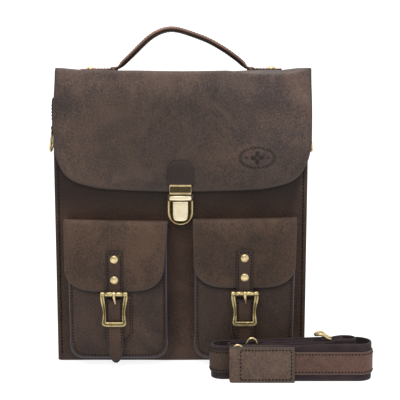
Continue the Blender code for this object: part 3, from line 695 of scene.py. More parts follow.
def crowned(form, outline, back, front, rise):
    """Add a plate with the given (x, z) outline whose face rises gently to its middle."""
    middle = outline.mean(axis=0)
    rings = []
    for share, y in (
        (1.0, back), (1.0, front + 0.9), (0.975, front + 0.35), (0.93, front + 0.1), (0.8, front),
        (0.5, front - rise * 0.2), (0.2, front - rise * 0.3),
    ):
        ring = middle + (outline - middle) * share
        rings.append(xyz(ring[:, 0], y, ring[:, 1]))
    form.tube(rings)


def rivet(form, centre, out, side, radius, height):
    """Add a domed rivet cap with a thin rim, standing on the surface at centre."""
    angles = full_turn(28)[:, None]
    ring = np.cos(angles) * side + np.sin(angles) * np.cross(out, side)
    profile = [(1.0, 0.0), (1.0, 0.16), (0.96, 0.26), (0.9, 0.26), (0.86, 0.36)]
    for angle in np.radians((12, 26, 42, 58, 74, 86)):
        profile.append((0.86 * math.cos(angle), 0.36 + 0.64 * math.sin(angle)))
    form.tube([centre + ring * radius * size + out * height * rise for size, rise in profile])


BAR_ENDS = ((-1.0, 1.0), (1.0, 1.0))
SHOULDER_ENDS = ((-1.0, 0.72), (-0.85, 0.92), (-0.6, 1.0), (0.6, 1.0), (0.85, 0.92), (1.0, 0.72))
ROLLER_ENDS = ((-1.0, 0.9), (-0.95, 1.0), (0.0, 1.0), (0.95, 1.0), (1.0, 0.9))


def lug(form, x, y, z, half, radius, ends, sides=20):
    """Add a cylinder along X. ends lists (place, size) of its sections as shares of half and radius."""
    angles = full_turn(sides)
    rings = []
    for place, size in ends:
        reach = radius * size
        rings.append(xyz(x + place * half, y + reach * np.cos(angles), z + reach * np.sin(angles)))
    form.tube(rings)


def wire(path, ahead, across, radius):
    """Return round sections along a path, from the directions ahead and across at its points."""
    angles = full_turn(14)[:, None]
    lift = np.cross(ahead, across)
    rings = []
    for place, side, up in zip(path, np.broadcast_to(across, lift.shape), lift):
        rings.append(place + radius * (np.cos(angles) * side + np.sin(angles) * up))
    return rings


def loop_faces(rows, cols):
    """Return the quads of a closed ring of closed sections."""
    faces = strips(rows, cols, wrap=True)
    last = (rows - 1) * cols
    return faces + [(last + j, last + (j + 1) % cols, (j + 1) % cols, j) for j in range(cols)]


# ---------------------------------------------------------------- body

BODY_SHIFT = 0.5
SEAM_INSET = 5.0

# The sewn ridge at each upright corner: how far it stands outside the half width, and its y.
RIDGE_OUT = (-1.0, -0.3, 0.15, 0.15, -0.4, -1.5, -2.6)
RIDGE_Y = (-50.0, -49.6, -48.7, -47.8, -47.1, -46.7, -45.8)


def body_half(z):
    """Return half the body's width at one height: it widens slightly towards its top."""
    return 155.3 + 2.0 * z / 358


def body_ring(z):
    """Return the plan outline of the body at one height, with the sewn ridge at its four upright corners."""
    half = body_half(z)
    seam_x = half - np.array((6.6, 5.7, 5.0, 4.3, 3.4, 2.2))
    panel = np.concatenate([np.linspace(0, half - 6.6, 26)[:-1], seam_x])
    corner_x = half + np.array(RIDGE_OUT)
    corner_y = np.array(RIDGE_Y)
    side_y = np.linspace(-43.5, 43.5, 17)
    side_x = half - 3.0 - 1.7 * np.cos(side_y / 46.0 * math.pi / 2) * smooth(4, 40, z)
    front = np.full(len(panel), -BODY_HALF_DEPTH)
    x = np.concatenate([panel, corner_x, side_x, corner_x[::-1], panel[:0:-1]])
    y = np.concatenate([front, corner_y, side_y, -corner_y[::-1], -front[1:]])
    ring = xyz(np.concatenate([x, -x[:1:-1]]), np.concatenate([y, y[:1:-1]]), z)
    face = np.abs(ring[:, 1]) > 49.9
    into = smooth(0.0, 1.0, (half - SEAM_INSET - np.abs(ring[:, 0])) / 30)
    sag = 0.9 * lumps(ring * (1, 1, 0.7), 46.0, 3) + 0.4 * lumps(ring, 17.0, 5)
    ring[:, 1] += np.where(face, np.sign(ring[:, 1]) * into * (sag - 0.3) * 0.9, 0.0)
    groove = np.where(face, 0.45 * hump(np.abs(ring[:, 0]), half - SEAM_INSET, 0.6), 0.0)
    ring[:, 1] -= np.sign(ring[:, 1]) * groove
    sides = ~face & (np.abs(ring[:, 1]) < 44)
    ring[:, 0] += np.where(sides, np.sign(ring[:, 0]) * 0.8 * lumps(ring, 52.0, 8), 0.0)
    slim = smooth(285, 350, z) * smooth(-10, -46, ring[:, 1])
    ring[:, 0] += BODY_SHIFT + slim * (1.6 - 3.8 * ring[:, 0] / half)
    ring[:, 1] += 2.0 * smooth(325, 358, z) * (ring[:, 1] < -40)
    return ring


def build_body():
    """The bag's outer shell: one lofted, sagging cup of thick leather with sewn corner ridges."""
    heights = np.concatenate([(1.4, 3.4, 7.0), np.linspace(12, 340, 56), (346, 351, 354.5)])
    probe = body_ring(100.0)
    back = smooth(-40, 40, probe[:, 1])
    probe[:, 0] -= BODY_SHIFT
    dip = 1 - smooth(44.0, 48.0, np.abs(probe[:, 1]))
    middle = np.clip(1 - (probe[:, 0] / 105.0) ** 2, 0, 1) ** 1.5
    top = 357.6 + 1.6 * back - 7.0 * dip - 4.0 * middle * back - 2.0 * middle * (1 - back)
    rings = []
    for z in heights:
        ring = body_ring(z)
        ring[:, 2] = z * top / 357.6 if z > 12 else z
        rings.append(ring)
    lip = body_ring(356.0)
    centre = lip * (0.9935, 0.985, 1.0)
    lip[:, 2] = top - 1.2
    centre[:, 2] = top + 0.1
    rings += [lip, centre]
    inner_x = np.clip(lip[:, 0], -148.2, 148.2)
    inner_y = np.clip(lip[:, 1], -46.9, 46.9)
    for drop in (0.8, 4.0, 60, 180, 300, 350.0):
        rings.append(xyz(inner_x, inner_y, np.maximum(top - drop, 3.4)))
    under = rings[0].copy()
    under[:, :2] *= (0.985, 0.955)
    under[:, 2] = 0.15
    grid = np.array([under] + rings)
    wear = np.zeros(grid.shape[:2])
    wear[-8:-6] = 1.0
    away = np.abs(grid[..., 0] - BODY_SHIFT)
    ridge = (away > 154.1) & (np.abs(grid[..., 1]) > 46.8)
    wear += 0.4 * ridge
    sewn = hump(away, body_half(grid[..., 2]) - SEAM_INSET, 1.0) * (np.abs(grid[..., 1]) > 47.5)
    wear[1:4] += 0.5
    # Painted shadow of the flap on the front below its edge, left out at the right end; darker along the sewn
    # lines, and paler down the middle between the pockets, the leather's own tone.
    level = grid[..., 2] - 40 * smooth(140, 152, grid[..., 0])
    tone = 0.8 * sewn - 0.6 * hump(grid[..., 0], 0.0, 12.0) * smooth(172, 150, grid[..., 2])
    tone += 0.95 * smooth(178, 216, level) * (grid[..., 1] < -44)
    form = Form()
    form.tube(grid, np.clip(wear, 0, 1.0), shade=tone)
    form.piece(
        "body_shell", BODY, "bag_body", "body_leather",
        ("front_panel", "back_panel", "gusset_left", "gusset_right", "base_panel"), angle=50,
    )
    thread_rows = Form()
    for sign in (-1, 1):
        for y, facing in ((-50.0, FRONT), (50.0, BACK)):
            z = np.linspace(9, 350, 80)
            lean = 2.0 * smooth(325, 358, z) * (y < 0)
            path = xyz(sign * (body_half(z) - SEAM_INSET) + BODY_SHIFT, y * 0.995 + lean, z)
            stitches(thread_rows, path, facing, pitch=4.6, length=2.6, radius=0.74, rise=0.1)
    thread_rows.piece("body_stitches", THREAD, "bag_body", "body_leather")


# How far the lining and its divider stay inside the CAD's, to leave room for the sunk gussets.
GUSSET_ROOM = 3.4


def build_lining():
    """Cotton bag inside, turned over at its mouth."""
    low, high = (np.array(corner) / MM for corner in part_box("lining"))
    rounded = 5.0
    wall = 1.0
    span = np.array((150.0, 46.0))
    wide, deep = high[0] - GUSSET_ROOM, high[1]
    plan = []
    for cx, cy, start in ((1, 1, 0), (-1, 1, 90), (-1, -1, 180), (1, -1, 270)):
        plan.append(arc(cx * (wide - rounded), cy * (deep - rounded), rounded, start, start + 90, 4))
    plan = even_loop(np.concatenate(plan), 120)
    bottom, top = low[2], high[2]
    heights = [bottom + 0.1, bottom + 3, 20, 60, 110, 160, 210, 260, 300, 330]
    heights += [top - 16, top - 14.6, top - 6, top]
    rings = []
    for z in heights:
        ring = np.c_[plan, np.full(len(plan), z)]
        inward = 0.9 * (0.5 + 0.5 * lumps(ring, 38.0, 12)) * smooth(0, 40, z - bottom)
        hem = 0.4 if z > top - 15 else 0.0
        ring[:, :2] *= 1 - (inward + 0.3 - hem)[:, None] / span
        rings.append(ring)
    for z, outside in zip(heights[::-1], rings[::-1]):
        ring = outside.copy()
        ring[:, :2] *= 1 - wall / span
        ring[:, 2] = max(z if z > 10 else z + wall, bottom + wall)
        rings.append(ring)
    grid = np.array(rings)
    weave = np.stack([np.broadcast_to(along(plan), grid.shape[:2]), grid[..., 2]], axis=2)
    form = Form()
    form.tube(grid, weave=weave)
    lining = form.piece("lining_bag", LINING, "bag_body", "lining_cloth", ("lining",))


def build_divider():
    """The thin cloth panel that divides the lining."""
    low, high = (np.array(corner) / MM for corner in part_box("divider"))
    across = np.linspace(low[0] + GUSSET_ROOM, high[0] - GUSSET_ROOM, 61)
    x, z = np.meshgrid(across, np.linspace(low[2], high[2], 61))
    grid = xyz(x, 0.0, z)
    middle = (low[1] + high[1]) / 2
    fade = smooth(0, 40, x - low[0]) * smooth(0, 40, high[0] - x) * smooth(0, 50, z)
    grid[..., 1] = middle - 0.5 + 3.0 * fade * lumps(grid, 90.0, 4)
    form = sheet(grid, min(1.6, high[1] - low[1]), FRONT)
    form.piece("divider_cloth", LINING, "bag_body", "lining_cloth", ("divider",))


# ---------------------------------------------------------------- main flap

def top_sag(x, y):
    """Return how far the top of the flap hangs down between the ends of the bag, and under the handle."""
    middle = np.clip(1 - (x / 112.0) ** 2, 0, 1) ** 1.4
    ends = smooth(120, 158, np.abs(x))
    right = smooth(50, 95, x) * smooth(162, 135, x)
    ends = ends * np.where(x > 0, 1.5, 1.2)
    front = 2.4 * middle - 1.4 * ends + 5.2 * right + 0.8 * smooth(-50, -90, x) * smooth(-160, -130, x)
    seat = 1.6 + 0.9 * middle - 2.4 * ends - 1.0 * right
    return front + (seat - front) * smooth(-47, -18, y)


# The flap's lower corner, from side to middle: distances in from the side and up from the lowest edge.
FLAP_CORNER = (
    (0, 58), (1.2, 50), (3, 42), (5, 36), (8, 29.5), (12.5, 21.5), (20, 14.8), (30, 10), (42, 7), (56, 3.8),
    (75, 2.4), (100, 1.2), (130, 0.4), (FLAP_HALF, 0),
)
FLAP_LOW_Z = 216.2
FLAP_EDGE_STEPS = (0.0, 0.6, 1.4, 2.4, 4.0)


def flap_across(x, z):
    """Return the flap's x at one height: it hangs a little to the right and is narrower at its top."""
    low = smooth(366, 300, z)
    return x * (155.3 + 2.3 * low) / FLAP_HALF + 3.4 - 0.7 * low


def mark(x, z):
    """Return how deep a plain oval mark is pressed: a roped border round a four-petalled flower."""
    dx = x - MARK_CENTRE[0]
    dz = z - MARK_CENTRE[1]
    ring = np.hypot(dx / 23.0, dz / 13.6)
    angle = np.arctan2(dz, dx)
    rope = 0.6 + 0.4 * np.cos(26 * np.arctan2(dz / 13.6, dx / 23.0))
    rim = smooth(0.80, 0.84, ring) * smooth(1.03, 0.99, ring) * rope
    reach = np.hypot(dx, dz)
    petal = 8.4 * np.abs(np.cos(2 * angle)) ** 0.6
    flower = smooth(petal + 0.6, petal - 0.6, reach) * smooth(0.6, 1.8, reach)
    side = hump(np.hypot((np.abs(dx) - 13.5) / 2.4, dz / 1.5), 0.0, 1.0)
    return 0.6 * np.clip(rim + 0.9 * flower + side, 0, 1)


def build_flap_front():
    """The sheet that closes the bag, from the middle of its top to its lower edge, with its pressed mark."""
    side = smooth_path([(FLAP_HALF - inset, FLAP_LOW_Z + rise) for inset, rise in FLAP_CORNER], 3.0)
    curve = np.concatenate([side * (-1, 1), side[-2::-1]])
    reach = along(curve)[-1]
    mark_place = reach / 2 + MARK_CENTRE[0]
    places = spaced(reach, 4.0, FLAP_EDGE_STEPS, [(mark_place - 25, mark_place + 25, 0.9)])
    low = resample(curve, places)
    top_x = 0.85 * low[:, 0] + 0.15 * FLAP_HALF * (2 * places / reach - 1)
    rows = [xyz(top_x, y, FLAP_TOP_Z) for y in np.linspace(0, -47.5, 14)]
    rows += [xyz(top_x, y, z) for y, z in arc(-47.5, FLAP_BEND_Z, FLAP_BEND, 90, 180, 7)[1:-1]]
    drop_length = FLAP_BEND_Z - FLAP_LOW_Z - 0.2
    mark_drop = FLAP_BEND_Z - MARK_CENTRE[1]
    band = (mark_drop - 15, mark_drop + 15, 0.9)
    for share in spaced(drop_length, 4.0, FLAP_EDGE_STEPS, [band]) / drop_length:
        x = top_x + (low[:, 0] - top_x) * smooth(0.0, 1.0, share)
        z = FLAP_BEND_Z + (low[:, 1] - FLAP_BEND_Z) * share
        rows.append(xyz(x, FLAP_FACE_Y, z))
    grid = np.array(rows)
    x, y, z = grid[..., 0].copy(), grid[..., 1].copy(), grid[..., 2].copy()
    face = smooth(366, 352, z) * smooth(-40, -50, y)
    lock = 1 - hump(x, 0.0, 24.0) * smooth(275, 255, z)
    waves = 1.1 * lumps(grid * (1, 1, 0.8), 75.0, 21) + 0.45 * lumps(grid * (1, 1, 0.7), 26.0, 22)
    curl = 1.6 * smooth(262, 222, z) * smooth(60, 130, np.abs(x))
    grid[..., 1] -= face * (lock * (waves + 0.5) + curl) - 0.2
    grid[..., 1] += 2.0 * smooth(325, 358, z) * smooth(-46, -50, y)
    grid[..., 0] = flap_across(x, z)
    grid[..., 2] -= top_sag(x, y) * smooth(300, 358, z)
    pressed = mark(x, z) * face
    grid[..., 1] += pressed
    # Paler at the top and bend: painted light from above. Paler at the upper right and far left: the
    # leather's own rubbed tone. The pressed mark is darker.
    lit_and_worn = 0.95 * smooth(318, 366, z) + 0.75 * smooth(20, 130, x) * smooth(230, 290, z)
    lit_and_worn += 0.2 * smooth(-60, -150, x)
    tone = 2.2 * pressed - np.clip(lit_and_worn, 0, 1)
    form = sheet(grid, FLAP_THICKNESS, FRONT, flat=("first_row",), shade=tone)
    bodies = ("main_flap_top", "main_flap_front", (0, -0.0405, 0.3655), (0, -0.0535, 0.3545))
    form.piece("flap_front_leather", FLAP, bodies, "flap_leather", ("flap_front",))


def build_flap_back():
    """The second sheet, from the middle of the top over the back edge and down to its sewn rows."""
    low_z = 322.0
    drops = spaced(FLAP_BEND_Z - low_z, 4.0, (0.0, 0.6, 1.4, 2.1, 2.8, 3.5, 5.0))[:-1]
    rows = [(53.3, low_z + drop) for drop in drops]
    rows += [tuple(place) for place in arc(47.3, FLAP_BEND_Z, FLAP_BEND, 0, 90, 9)]
    rows += [(y, FLAP_TOP_Z) for y in np.linspace(47.3, 0, 13)[1:]]
    places = spaced(2 * FLAP_HALF, 4.0)
    grid = np.array([[(x - FLAP_HALF, y, z) for x in places] for y, z in rows])
    x, y, z = grid[..., 0].copy(), grid[..., 1].copy(), grid[..., 2].copy()
    grid[..., 2] -= top_sag(x, y) * smooth(335, 360, z)
    grid[..., 0] = x * 155.3 / FLAP_HALF + 3.4 * smooth(322, 366, z)
    form = sheet(grid, FLAP_THICKNESS - 0.1, UP + BACK, flat=("last_row",))
    bodies = ("bag_body", "main_flap_top", (0, 0.0535, 0.352), (0, 0.0405, 0.3655))
    form.piece("flap_back_leather", FLAP, bodies, "flap_leather", ("flap_top",))
    threads = Form()
    for drop_z in (325.5, 331.0):
        path = xyz(np.linspace(-154, 154, 90), 53.25, drop_z)
        stitches(threads, path, BACK, pitch=4.6, length=3.3, radius=0.52)
    threads.piece("flap_back_stitches", THREAD, "bag_body", "flap_leather")


# ---------------------------------------------------------------- lock

def build_lock():
    """Leather tab, hasp plate and bridge bar of the push lock."""
    half = 15.3
    x, z = tongue(252.5, 225.0, half, np.array([(-half, 225.0), (half, 225.0)]), 2.5, top_corner=12.0)
    y = -56.6 + 0.7 * (np.abs(x) / half) ** 4 + 0.5 * smooth(246, 253, z)
    form = sheet(xyz(x, y, z), 2.6, FRONT)
    form.piece("lock_tab_leather", TAB, "main_flap_front", "flap_leather", ("lock_tab",))
    form = Form()
    profile = [
        (-54.2, 212.0), (-56.6, 212.0), (-57.2, 212.3), (-57.4, 212.9), (-57.2, 213.6), (-56.7, 213.9),
        (-56.5, 218.1), (-56.7, 222.3), (-57.2, 222.6), (-57.4, 223.3), (-57.2, 224.0), (-56.6, 224.3),
        (-54.2, 224.3),
    ]
    bar(form, profile, 13.4, 0.6)
    form.piece("hasp_plate_shape", BRASS, "main_flap_front", "antique_brass", ("hasp_plate",))
    form = Form()
    bar(form, [(-56.3, 214.1), (-56.78, 214.3), (-56.9, 218.1), (-56.78, 221.9), (-56.3, 222.1)], 13.1, 0.2)
    form.piece("hasp_band", OLIVE_BRASS, "main_flap_front", "dark_brass")
    form = Form()
    profile = [
        (-52.2, 204.7), (-59.2, 204.7), (-59.8, 205.0), (-60.1, 205.7), (-60.15, 207.5), (-60.1, 209.2),
        (-59.8, 210.0), (-59.2, 210.4), (-52.2, 210.4),
    ]
    bar(form, profile, 13.4, 0.7)
    form.piece("lock_bridge_bar", PALE_BRASS, "bag_body", "antique_brass", ("lock_bridge",))


def build_bezel():
    """The U-shaped bezel of the lock and the thumb plate inside it."""
    straight = 190.3
    top = 204.2
    half = 15.8
    path = [(-half, z) for z in np.linspace(top, straight, 8)[:-1]]
    path += [tuple(place) for place in arc(0, straight, half, 180, 360, 32)]
    path += [(half, z) for z in np.linspace(straight, top, 8)[1:]]
    path = np.array(path)
    tangent = tangents(path)
    inward = xyz(-tangent[:, 1], 0.0, tangent[:, 0])
    lift = np.broadcast_to(FRONT, inward.shape)
    points = xyz(path[:, 0], -52.1, path[:, 1])
    section = np.array([
        (0.0, 0.2), (0.0, 5.8), (0.2, 6.6), (0.6, 7.0), (1.2, 7.0), (1.6, 6.7), (4.7, 3.6), (4.9, 0.2),
    ])
    narrow = 1 - 0.36 * smooth(186, 177, path[:, 1])
    form = Form()
    sweep(form, points, inward * narrow[:, None], lift, section)
    form.piece("lock_bezel", BRASS, "bag_body", "antique_brass", ("lock_frame",))
    half = 9.3
    turn = np.linspace(0.08, math.pi - 0.08, 18)
    across = half * np.sign(np.cos(turn)) * np.abs(np.cos(turn)) ** 0.55
    low = 185.0 - 5.8 * np.sin(turn) ** 0.75
    outline = [(-half, 203.2), (half, 203.2), (half, 185.0)] + list(zip(across, low)) + [(-half, 185.0)]
    form = Form()
    crowned(form, np.array(outline), -57.4, -59.3, 0.9)
    form.piece("thumb_plate_shape", PALE_BRASS, "thumb_button", "antique_brass", ("thumb_plate",))


# ---------------------------------------------------------------- handle

HANDLE_ROUTE = (
    (-75.5, 374.8), (-64, 385.5), (-53.7, 396), (-43.6, 405.2), (-36.5, 410), (-28.8, 413.6), (-22, 415.6),
    (-15.2, 416.4), (-8.4, 415.6), (-1.6, 414.2), (15.4, 408.5), (32.4, 401.8), (49.4, 391.1), (60, 383.2),
    (70.5, 374.8),
)


def build_handle():
    """Padded strap from flat end to flat end, with its stitching."""
    left = [(-127, 365.2), (-110, 365.4), (-90, 365.4), (-80, 367.0)]
    right = [(84, 366.9), (92, 365.8), (110, 365.6), (127, 365.9)]
    route = left + [(px + 3.2 + 3.2 * smooth(20, 70, px), pz) for px, pz in HANDLE_ROUTE] + right
    route = smooth_path(route, 3.0)
    tangent = tangents(route)
    lift = xyz(-tangent[:, 1], 0.0, tangent[:, 0])
    side = np.broadcast_to(np.array((0.0, 1.0, 0.0)), lift.shape)
    z = route[:, 1]
    rise = smooth(368.5, 392, z)
    half = np.where(z < 368, 11.3, 6.6 + 4.7 * rise)
    for _ in range(3):
        half = np.convolve(np.pad(half, 1, mode="edge"), (0.25, 0.5, 0.25), "valid")
    thick = 1.45 + 1.9 * smooth(367.0, 373.5, z)
    angles = full_turn(28)
    c, s = np.cos(angles), np.sin(angles)
    rings = []
    for point, up, across, wide, deep in zip(route, lift, side, half, thick):
        sx = np.sign(c) * np.abs(c) ** 0.7 * wide
        crown = 0.62 + 0.38 * np.clip(1 - (sx / max(wide, 1)) ** 4, 0, 1)
        sz = np.sign(s) * np.abs(s) ** 0.75 * deep * crown
        centre = np.array((point[0], 0.0, point[1]))
        rings.append(centre + sx[:, None] * across + sz[:, None] * up)
    grid = np.array(rings)
    # Paler along the top and darker underneath: partly painted light from above and painted shade below,
    # partly a paler upper leather. The underside also takes some dark edge colour as painted shade; the
    # sides' dark edge colour is the cut edge.
    wear = 0.9 * np.abs(c) ** 10 + 0.35 * (s < -0.3)
    tone = smooth(0.15, -0.15, s) - smooth(0.2, 0.6, s)
    form = Form()
    form.tube(grid, np.broadcast_to(wear, grid.shape[:2]), shade=np.broadcast_to(tone, grid.shape[:2]))
    joint = ("main_flap_top", "carry_handle", (0, 0, 0.3692), (0, 0, 0.3790))
    nodes = ("handle_grip", "handle_tab_left", "handle_tab_right")
    form.piece("handle_strap", HANDLE, joint, "handle_leather", nodes, angle=60)
    threads = Form()
    for sign in (-1, 1):
        for face in (-1, 1):
            centre = xyz(route[:, 0], sign * (half - 2.0), route[:, 1])
            path = centre + face * lift * (thick * 0.80)[:, None]
            stitches(threads, path[3:-3], face * lift[3:-3], pitch=3.9, length=2.8, radius=0.5)
    threads.piece("handle_stitches", THREAD, joint, "handle_leather", angle=60)


def build_handle_feet():
    """The keeper and the rivet at each foot of the handle."""
    for side_name, sign in (("left", -1), ("right", 1)):
        rise = [(-12.9, 363.4), (-12.9, 366.4), (-11.6, 368.6)]
        path = smooth_path(rise + [(0, 369.4)] + [(-py, pz) for py, pz in rise[::-1]], 1.5)
        x = sign * 85.0 + 1.6 * (sign + 1) + spaced(5.6, 2.0, (0.0, 0.6, 1.4)) - 2.8
        grid = np.array([[(px, py, pz) for px in x] for py, pz in path])
        form = sheet(grid, 1.7, UP)
        form.piece(
            "handle_keeper_" + side_name + "_loop", HANDLE, "main_flap_top", "handle_leather",
            ("handle_keeper_" + side_name,),
        )
        form = Form()
        base = np.array((sign * HANDLE_RIVET_X, -3.5, 366.2 + 0.4 * (sign + 1)))
        rivet(form, base, unit(UP + 0.35 * FRONT), np.array((1.0, 0, 0)), 5.4, 2.9)
        form.piece(
            "handle_rivet_" + side_name + "_cap", BRASS, "main_flap_top", "antique_brass",
            ("handle_rivet_" + side_name,), angle=60,
        )


# ---------------------------------------------------------------- sides

def build_sides():
    """Folded leather tabs on the gussets, and the D-rings that hang in them."""
    pivot_z = 291.5
    for side_name, sign in (("left", -1), ("right", 1)):
        path = [(154.0, 331.0), (161.5, 331.0), (164.0, 329.0), (164.4, 318.0), (164.4, 300.0)]
        path += [tuple(place) for place in arc(162.6, pivot_z, 3.4, 60, -150, 10)]
        path += [(158.4, 292.5), (156.6, 296.0), (155.4, 306.0)]
        path = smooth_path(path, 1.2)
        y = spaced(17.4, 3.0) - 8.7
        grid = np.array([[(sign * px, py, pz) for py in y] for px, pz in path])
        form = sheet(grid, 1.8, np.array((sign, 0, 0)))
        tab = "side_tab_" + side_name
        form.piece(tab + "_fold", BODY, "bag_body", "body_leather", (tab,))
        threads = Form()
        for y in (-6.2, 6.2):
            rows = path[(path[:, 1] > 300) & (path[:, 1] < 323) & (path[:, 0] > 161)]
            route = np.array([(sign * px, y, pz) for px, pz in rows])
            stitches(threads, route, np.array((sign, 0, 0.0)), pitch=3.8, length=1.9)
        threads.piece(tab + "_stitches", THREAD, "bag_body", "body_leather")
        drop = [(y, 0.0) for y in np.linspace(-11.5, 11.5, 12)]
        drop += [(11.5, -6.0), (11.5, -14.0), (10.6, -20.0), (8.2, -25.0), (4.6, -28.4), (0.0, -29.8)]
        drop += [(-py, pz) for py, pz in drop[-2:11:-1]]
        drop = np.array(drop)
        hang = np.radians(9.5)
        route = xyz(sign * (162.5 - drop[:, 1] * math.sin(hang)), drop[:, 0], pivot_z + drop[:, 1])
        route = smooth_loop(route, 60)
        across = np.array((sign * math.cos(hang), 0.0, -math.sin(hang)))
        rings = wire(route, tangents(route, closed=True), across, 1.6)
        # Painted dark reflection on the upper part of the ring.
        painted_dark_reflection = 1.4 * smooth(-9.0, -5.0, route[:, 2] - pivot_z)
        form = Form()
        form.add(rings, loop_faces(len(rings), 14), shade=np.repeat(painted_dark_reflection, 14))
        form.piece(
            "d_ring_shape_" + side_name, BRASS, "d_ring_body_" + side_name, "antique_brass",
            ("d_ring_" + side_name,), angle=60,
        )


# ---------------------------------------------------------------- pockets

POCKET_HALF = 60.4
POCKET_TOP_Z = 173.0
THREAD_LIFT = 0.95

# Heights that differ a little between the two pockets, as on any hand-made bag.
LID_HALF = 62.2
LID_Z = {"left": (96.2, 182.9), "right": (100.8, 185.3)}
RIVET_Z = {"left": (110.1, 135.6), "right": (113.6, 137.3)}
BUCKLE_LIFT = {"left": 0.5, "right": 1.2}
BUCKLE_Y = -89.6
BUCKLE_BAR_Z = 93.5


def rounded_curve(half, side_z, bottom_z, reach, power):
    """Return the lower boundary of a panel: corners of the given reach from side_z down to bottom_z."""
    angles = np.linspace(0, math.pi / 2, 30)
    across = np.cos(angles) ** (2 / power)
    down = np.sin(angles) ** (2 / power)
    corner = np.stack([half - reach + reach * across, side_z - (side_z - bottom_z) * down], axis=1)
    return np.concatenate([corner * (-1, 1), corner[::-1]])


def open_curve(top, half, side_z, bottom_z, reach, power):
    """Return a rounded_curve with an upright run from top at each end."""
    curve = rounded_curve(half, side_z, bottom_z, reach, power)
    return np.concatenate([[(-half, top)], curve, [(half, top)]])


def pocket_across(x, z, sign):
    """Return a pocket's x at one height: its outer side leans inwards towards the bottom."""
    low = 1 - z / POCKET_TOP_Z
    outer = 1.5 + 2.5 * low if sign < 0 else 2.0 - 4.0 * low
    inner = 0.5 - 0.5 * sign
    return x + np.abs(x) / POCKET_HALF * np.where(sign * x > 0, outer, inner)


def lid_curve(side_name):
    """Return the lower boundary of a pocket's lid, from its centre line."""
    bottom = LID_Z[side_name][0]
    return rounded_curve(LID_HALF, bottom + 28.0, bottom, 42.0, 2.25)


def build_pocket(side_name, sign):
    """One pocket: puffed front, sunk gusset, lid, straps, buckle and patch."""
    centre = sign * POCKET_X
    face = build_pocket_front(side_name, sign, centre)
    build_pocket_gusset(side_name, sign, centre)
    sew_pocket_front(side_name, sign, centre, face)
    build_lid(side_name, sign, centre)
    strap = sign * STRAP_X - 0.95
    lid = "pocket_lid_" + side_name
    build_straps(side_name, sign, strap, lid)
    build_patch(side_name, sign)
    build_buckle_frame(side_name, strap, lid)
    build_buckle_bar(side_name, strap)


def build_pocket_front(side_name, sign, centre):
    """The puffed leather front, with its folds. Returns the points of its outer face."""
    half = POCKET_HALF
    x, z = tongue(POCKET_TOP_Z, 11.0, half, rounded_curve(half, 26.0, 11.0, 15.0, 2.1), 4.0)
    y = 3.4 * (np.abs(x) / half) ** 5 + 3.0 * smooth(44, 8, z) ** 1.5 - 77.7
    grid = xyz(pocket_across(x, z, sign) + centre, y, z)
    calm = 1 - hump(x, 0, 22) * smooth(100, 84, z)
    folds = 0.9 * lumps(grid * (1, 1, 0.8), 40.0, 31 + sign) + 0.4 * lumps(grid, 15.0, 35 + sign)
    edge = lid_curve(side_name)
    below = np.interp(x, edge[:, 0], edge[:, 1]) - z
    # Painted shadow of the lid just below its edge; the right pocket is a little darker, the leather's own
    # tone.
    tone = 0.1 + 0.14 * sign + 0.9 * smooth(8.0, 1.0, below)
    if sign < 0:
        ridge = hump(0.65 * x + 0.76 * z, 56.0, 5.0) * hump(0.76 * x - 0.65 * z, -12.0, 22.0)
        beside = hump(0.65 * x + 0.76 * z, 68.0, 4.0) * hump(0.76 * x - 0.65 * z, 2.0, 14.0)
        hollow = hump(0.57 * x + 0.82 * z, 40.4, 4.0) * hump(0.82 * x - 0.57 * z, 22.0, 16.0)
        folds += 1.6 * ridge - 1.8 * hollow
        # Painted light and shade on the left pocket's folds: paler along the ridge, darker in the hollow and
        # in the streak beside the ridge.
        tone += 0.55 * hollow + 0.35 * beside - 0.35 * ridge
    else:
        slope = (x - 34) * 0.86 + (z - 70) * 0.5
        folds += 0.9 * hump(slope, 0, 5.0) * hump(z, 70, 30)
    grid[..., 1] -= calm * (folds - 0.4) * smooth(0, 14, edge_distance(grid))
    form = sheet(grid, 2.5, FRONT, seam=2.8, shade=tone)
    shell = "pocket_shell_" + side_name
    form.piece("pocket_front_" + side_name, POCKET, "bag_body", "pocket_leather", (shell,))
    return form.points[0][: x.size]


def build_pocket_gusset(side_name, sign, centre):
    """The strip that joins a pocket's front to the bag, sunk between them."""
    outline = open_curve(173.5, POCKET_HALF - 1.6, 27.0, 12.6, 14.0, 2.1)
    outline = resample(outline, np.linspace(0, along(outline)[-1], 110))
    outline[:, 0] = pocket_across(outline[:, 0], outline[:, 1], sign)
    tangent = tangents(outline)
    depth = 25.0
    rows = []
    for share in spaced(depth, 4.0, (0.0, 0.6, 1.4)) / depth:
        sink = 1.9 * math.sin(math.pi * share)
        x = outline[:, 0] - tangent[:, 1] * sink + centre
        rows.append(xyz(x, -49.4 - depth * share, outline[:, 1] + tangent[:, 0] * sink))
    grid = np.stack(rows, axis=1)
    # Painted shade over the whole sunk strip.
    form = sheet(grid, 2.0, -UP, rim_wear=0.1, shade=np.full(grid.shape[:2], 0.35))
    form.piece("pocket_gusset_" + side_name, POCKET, "bag_body", "pocket_leather")


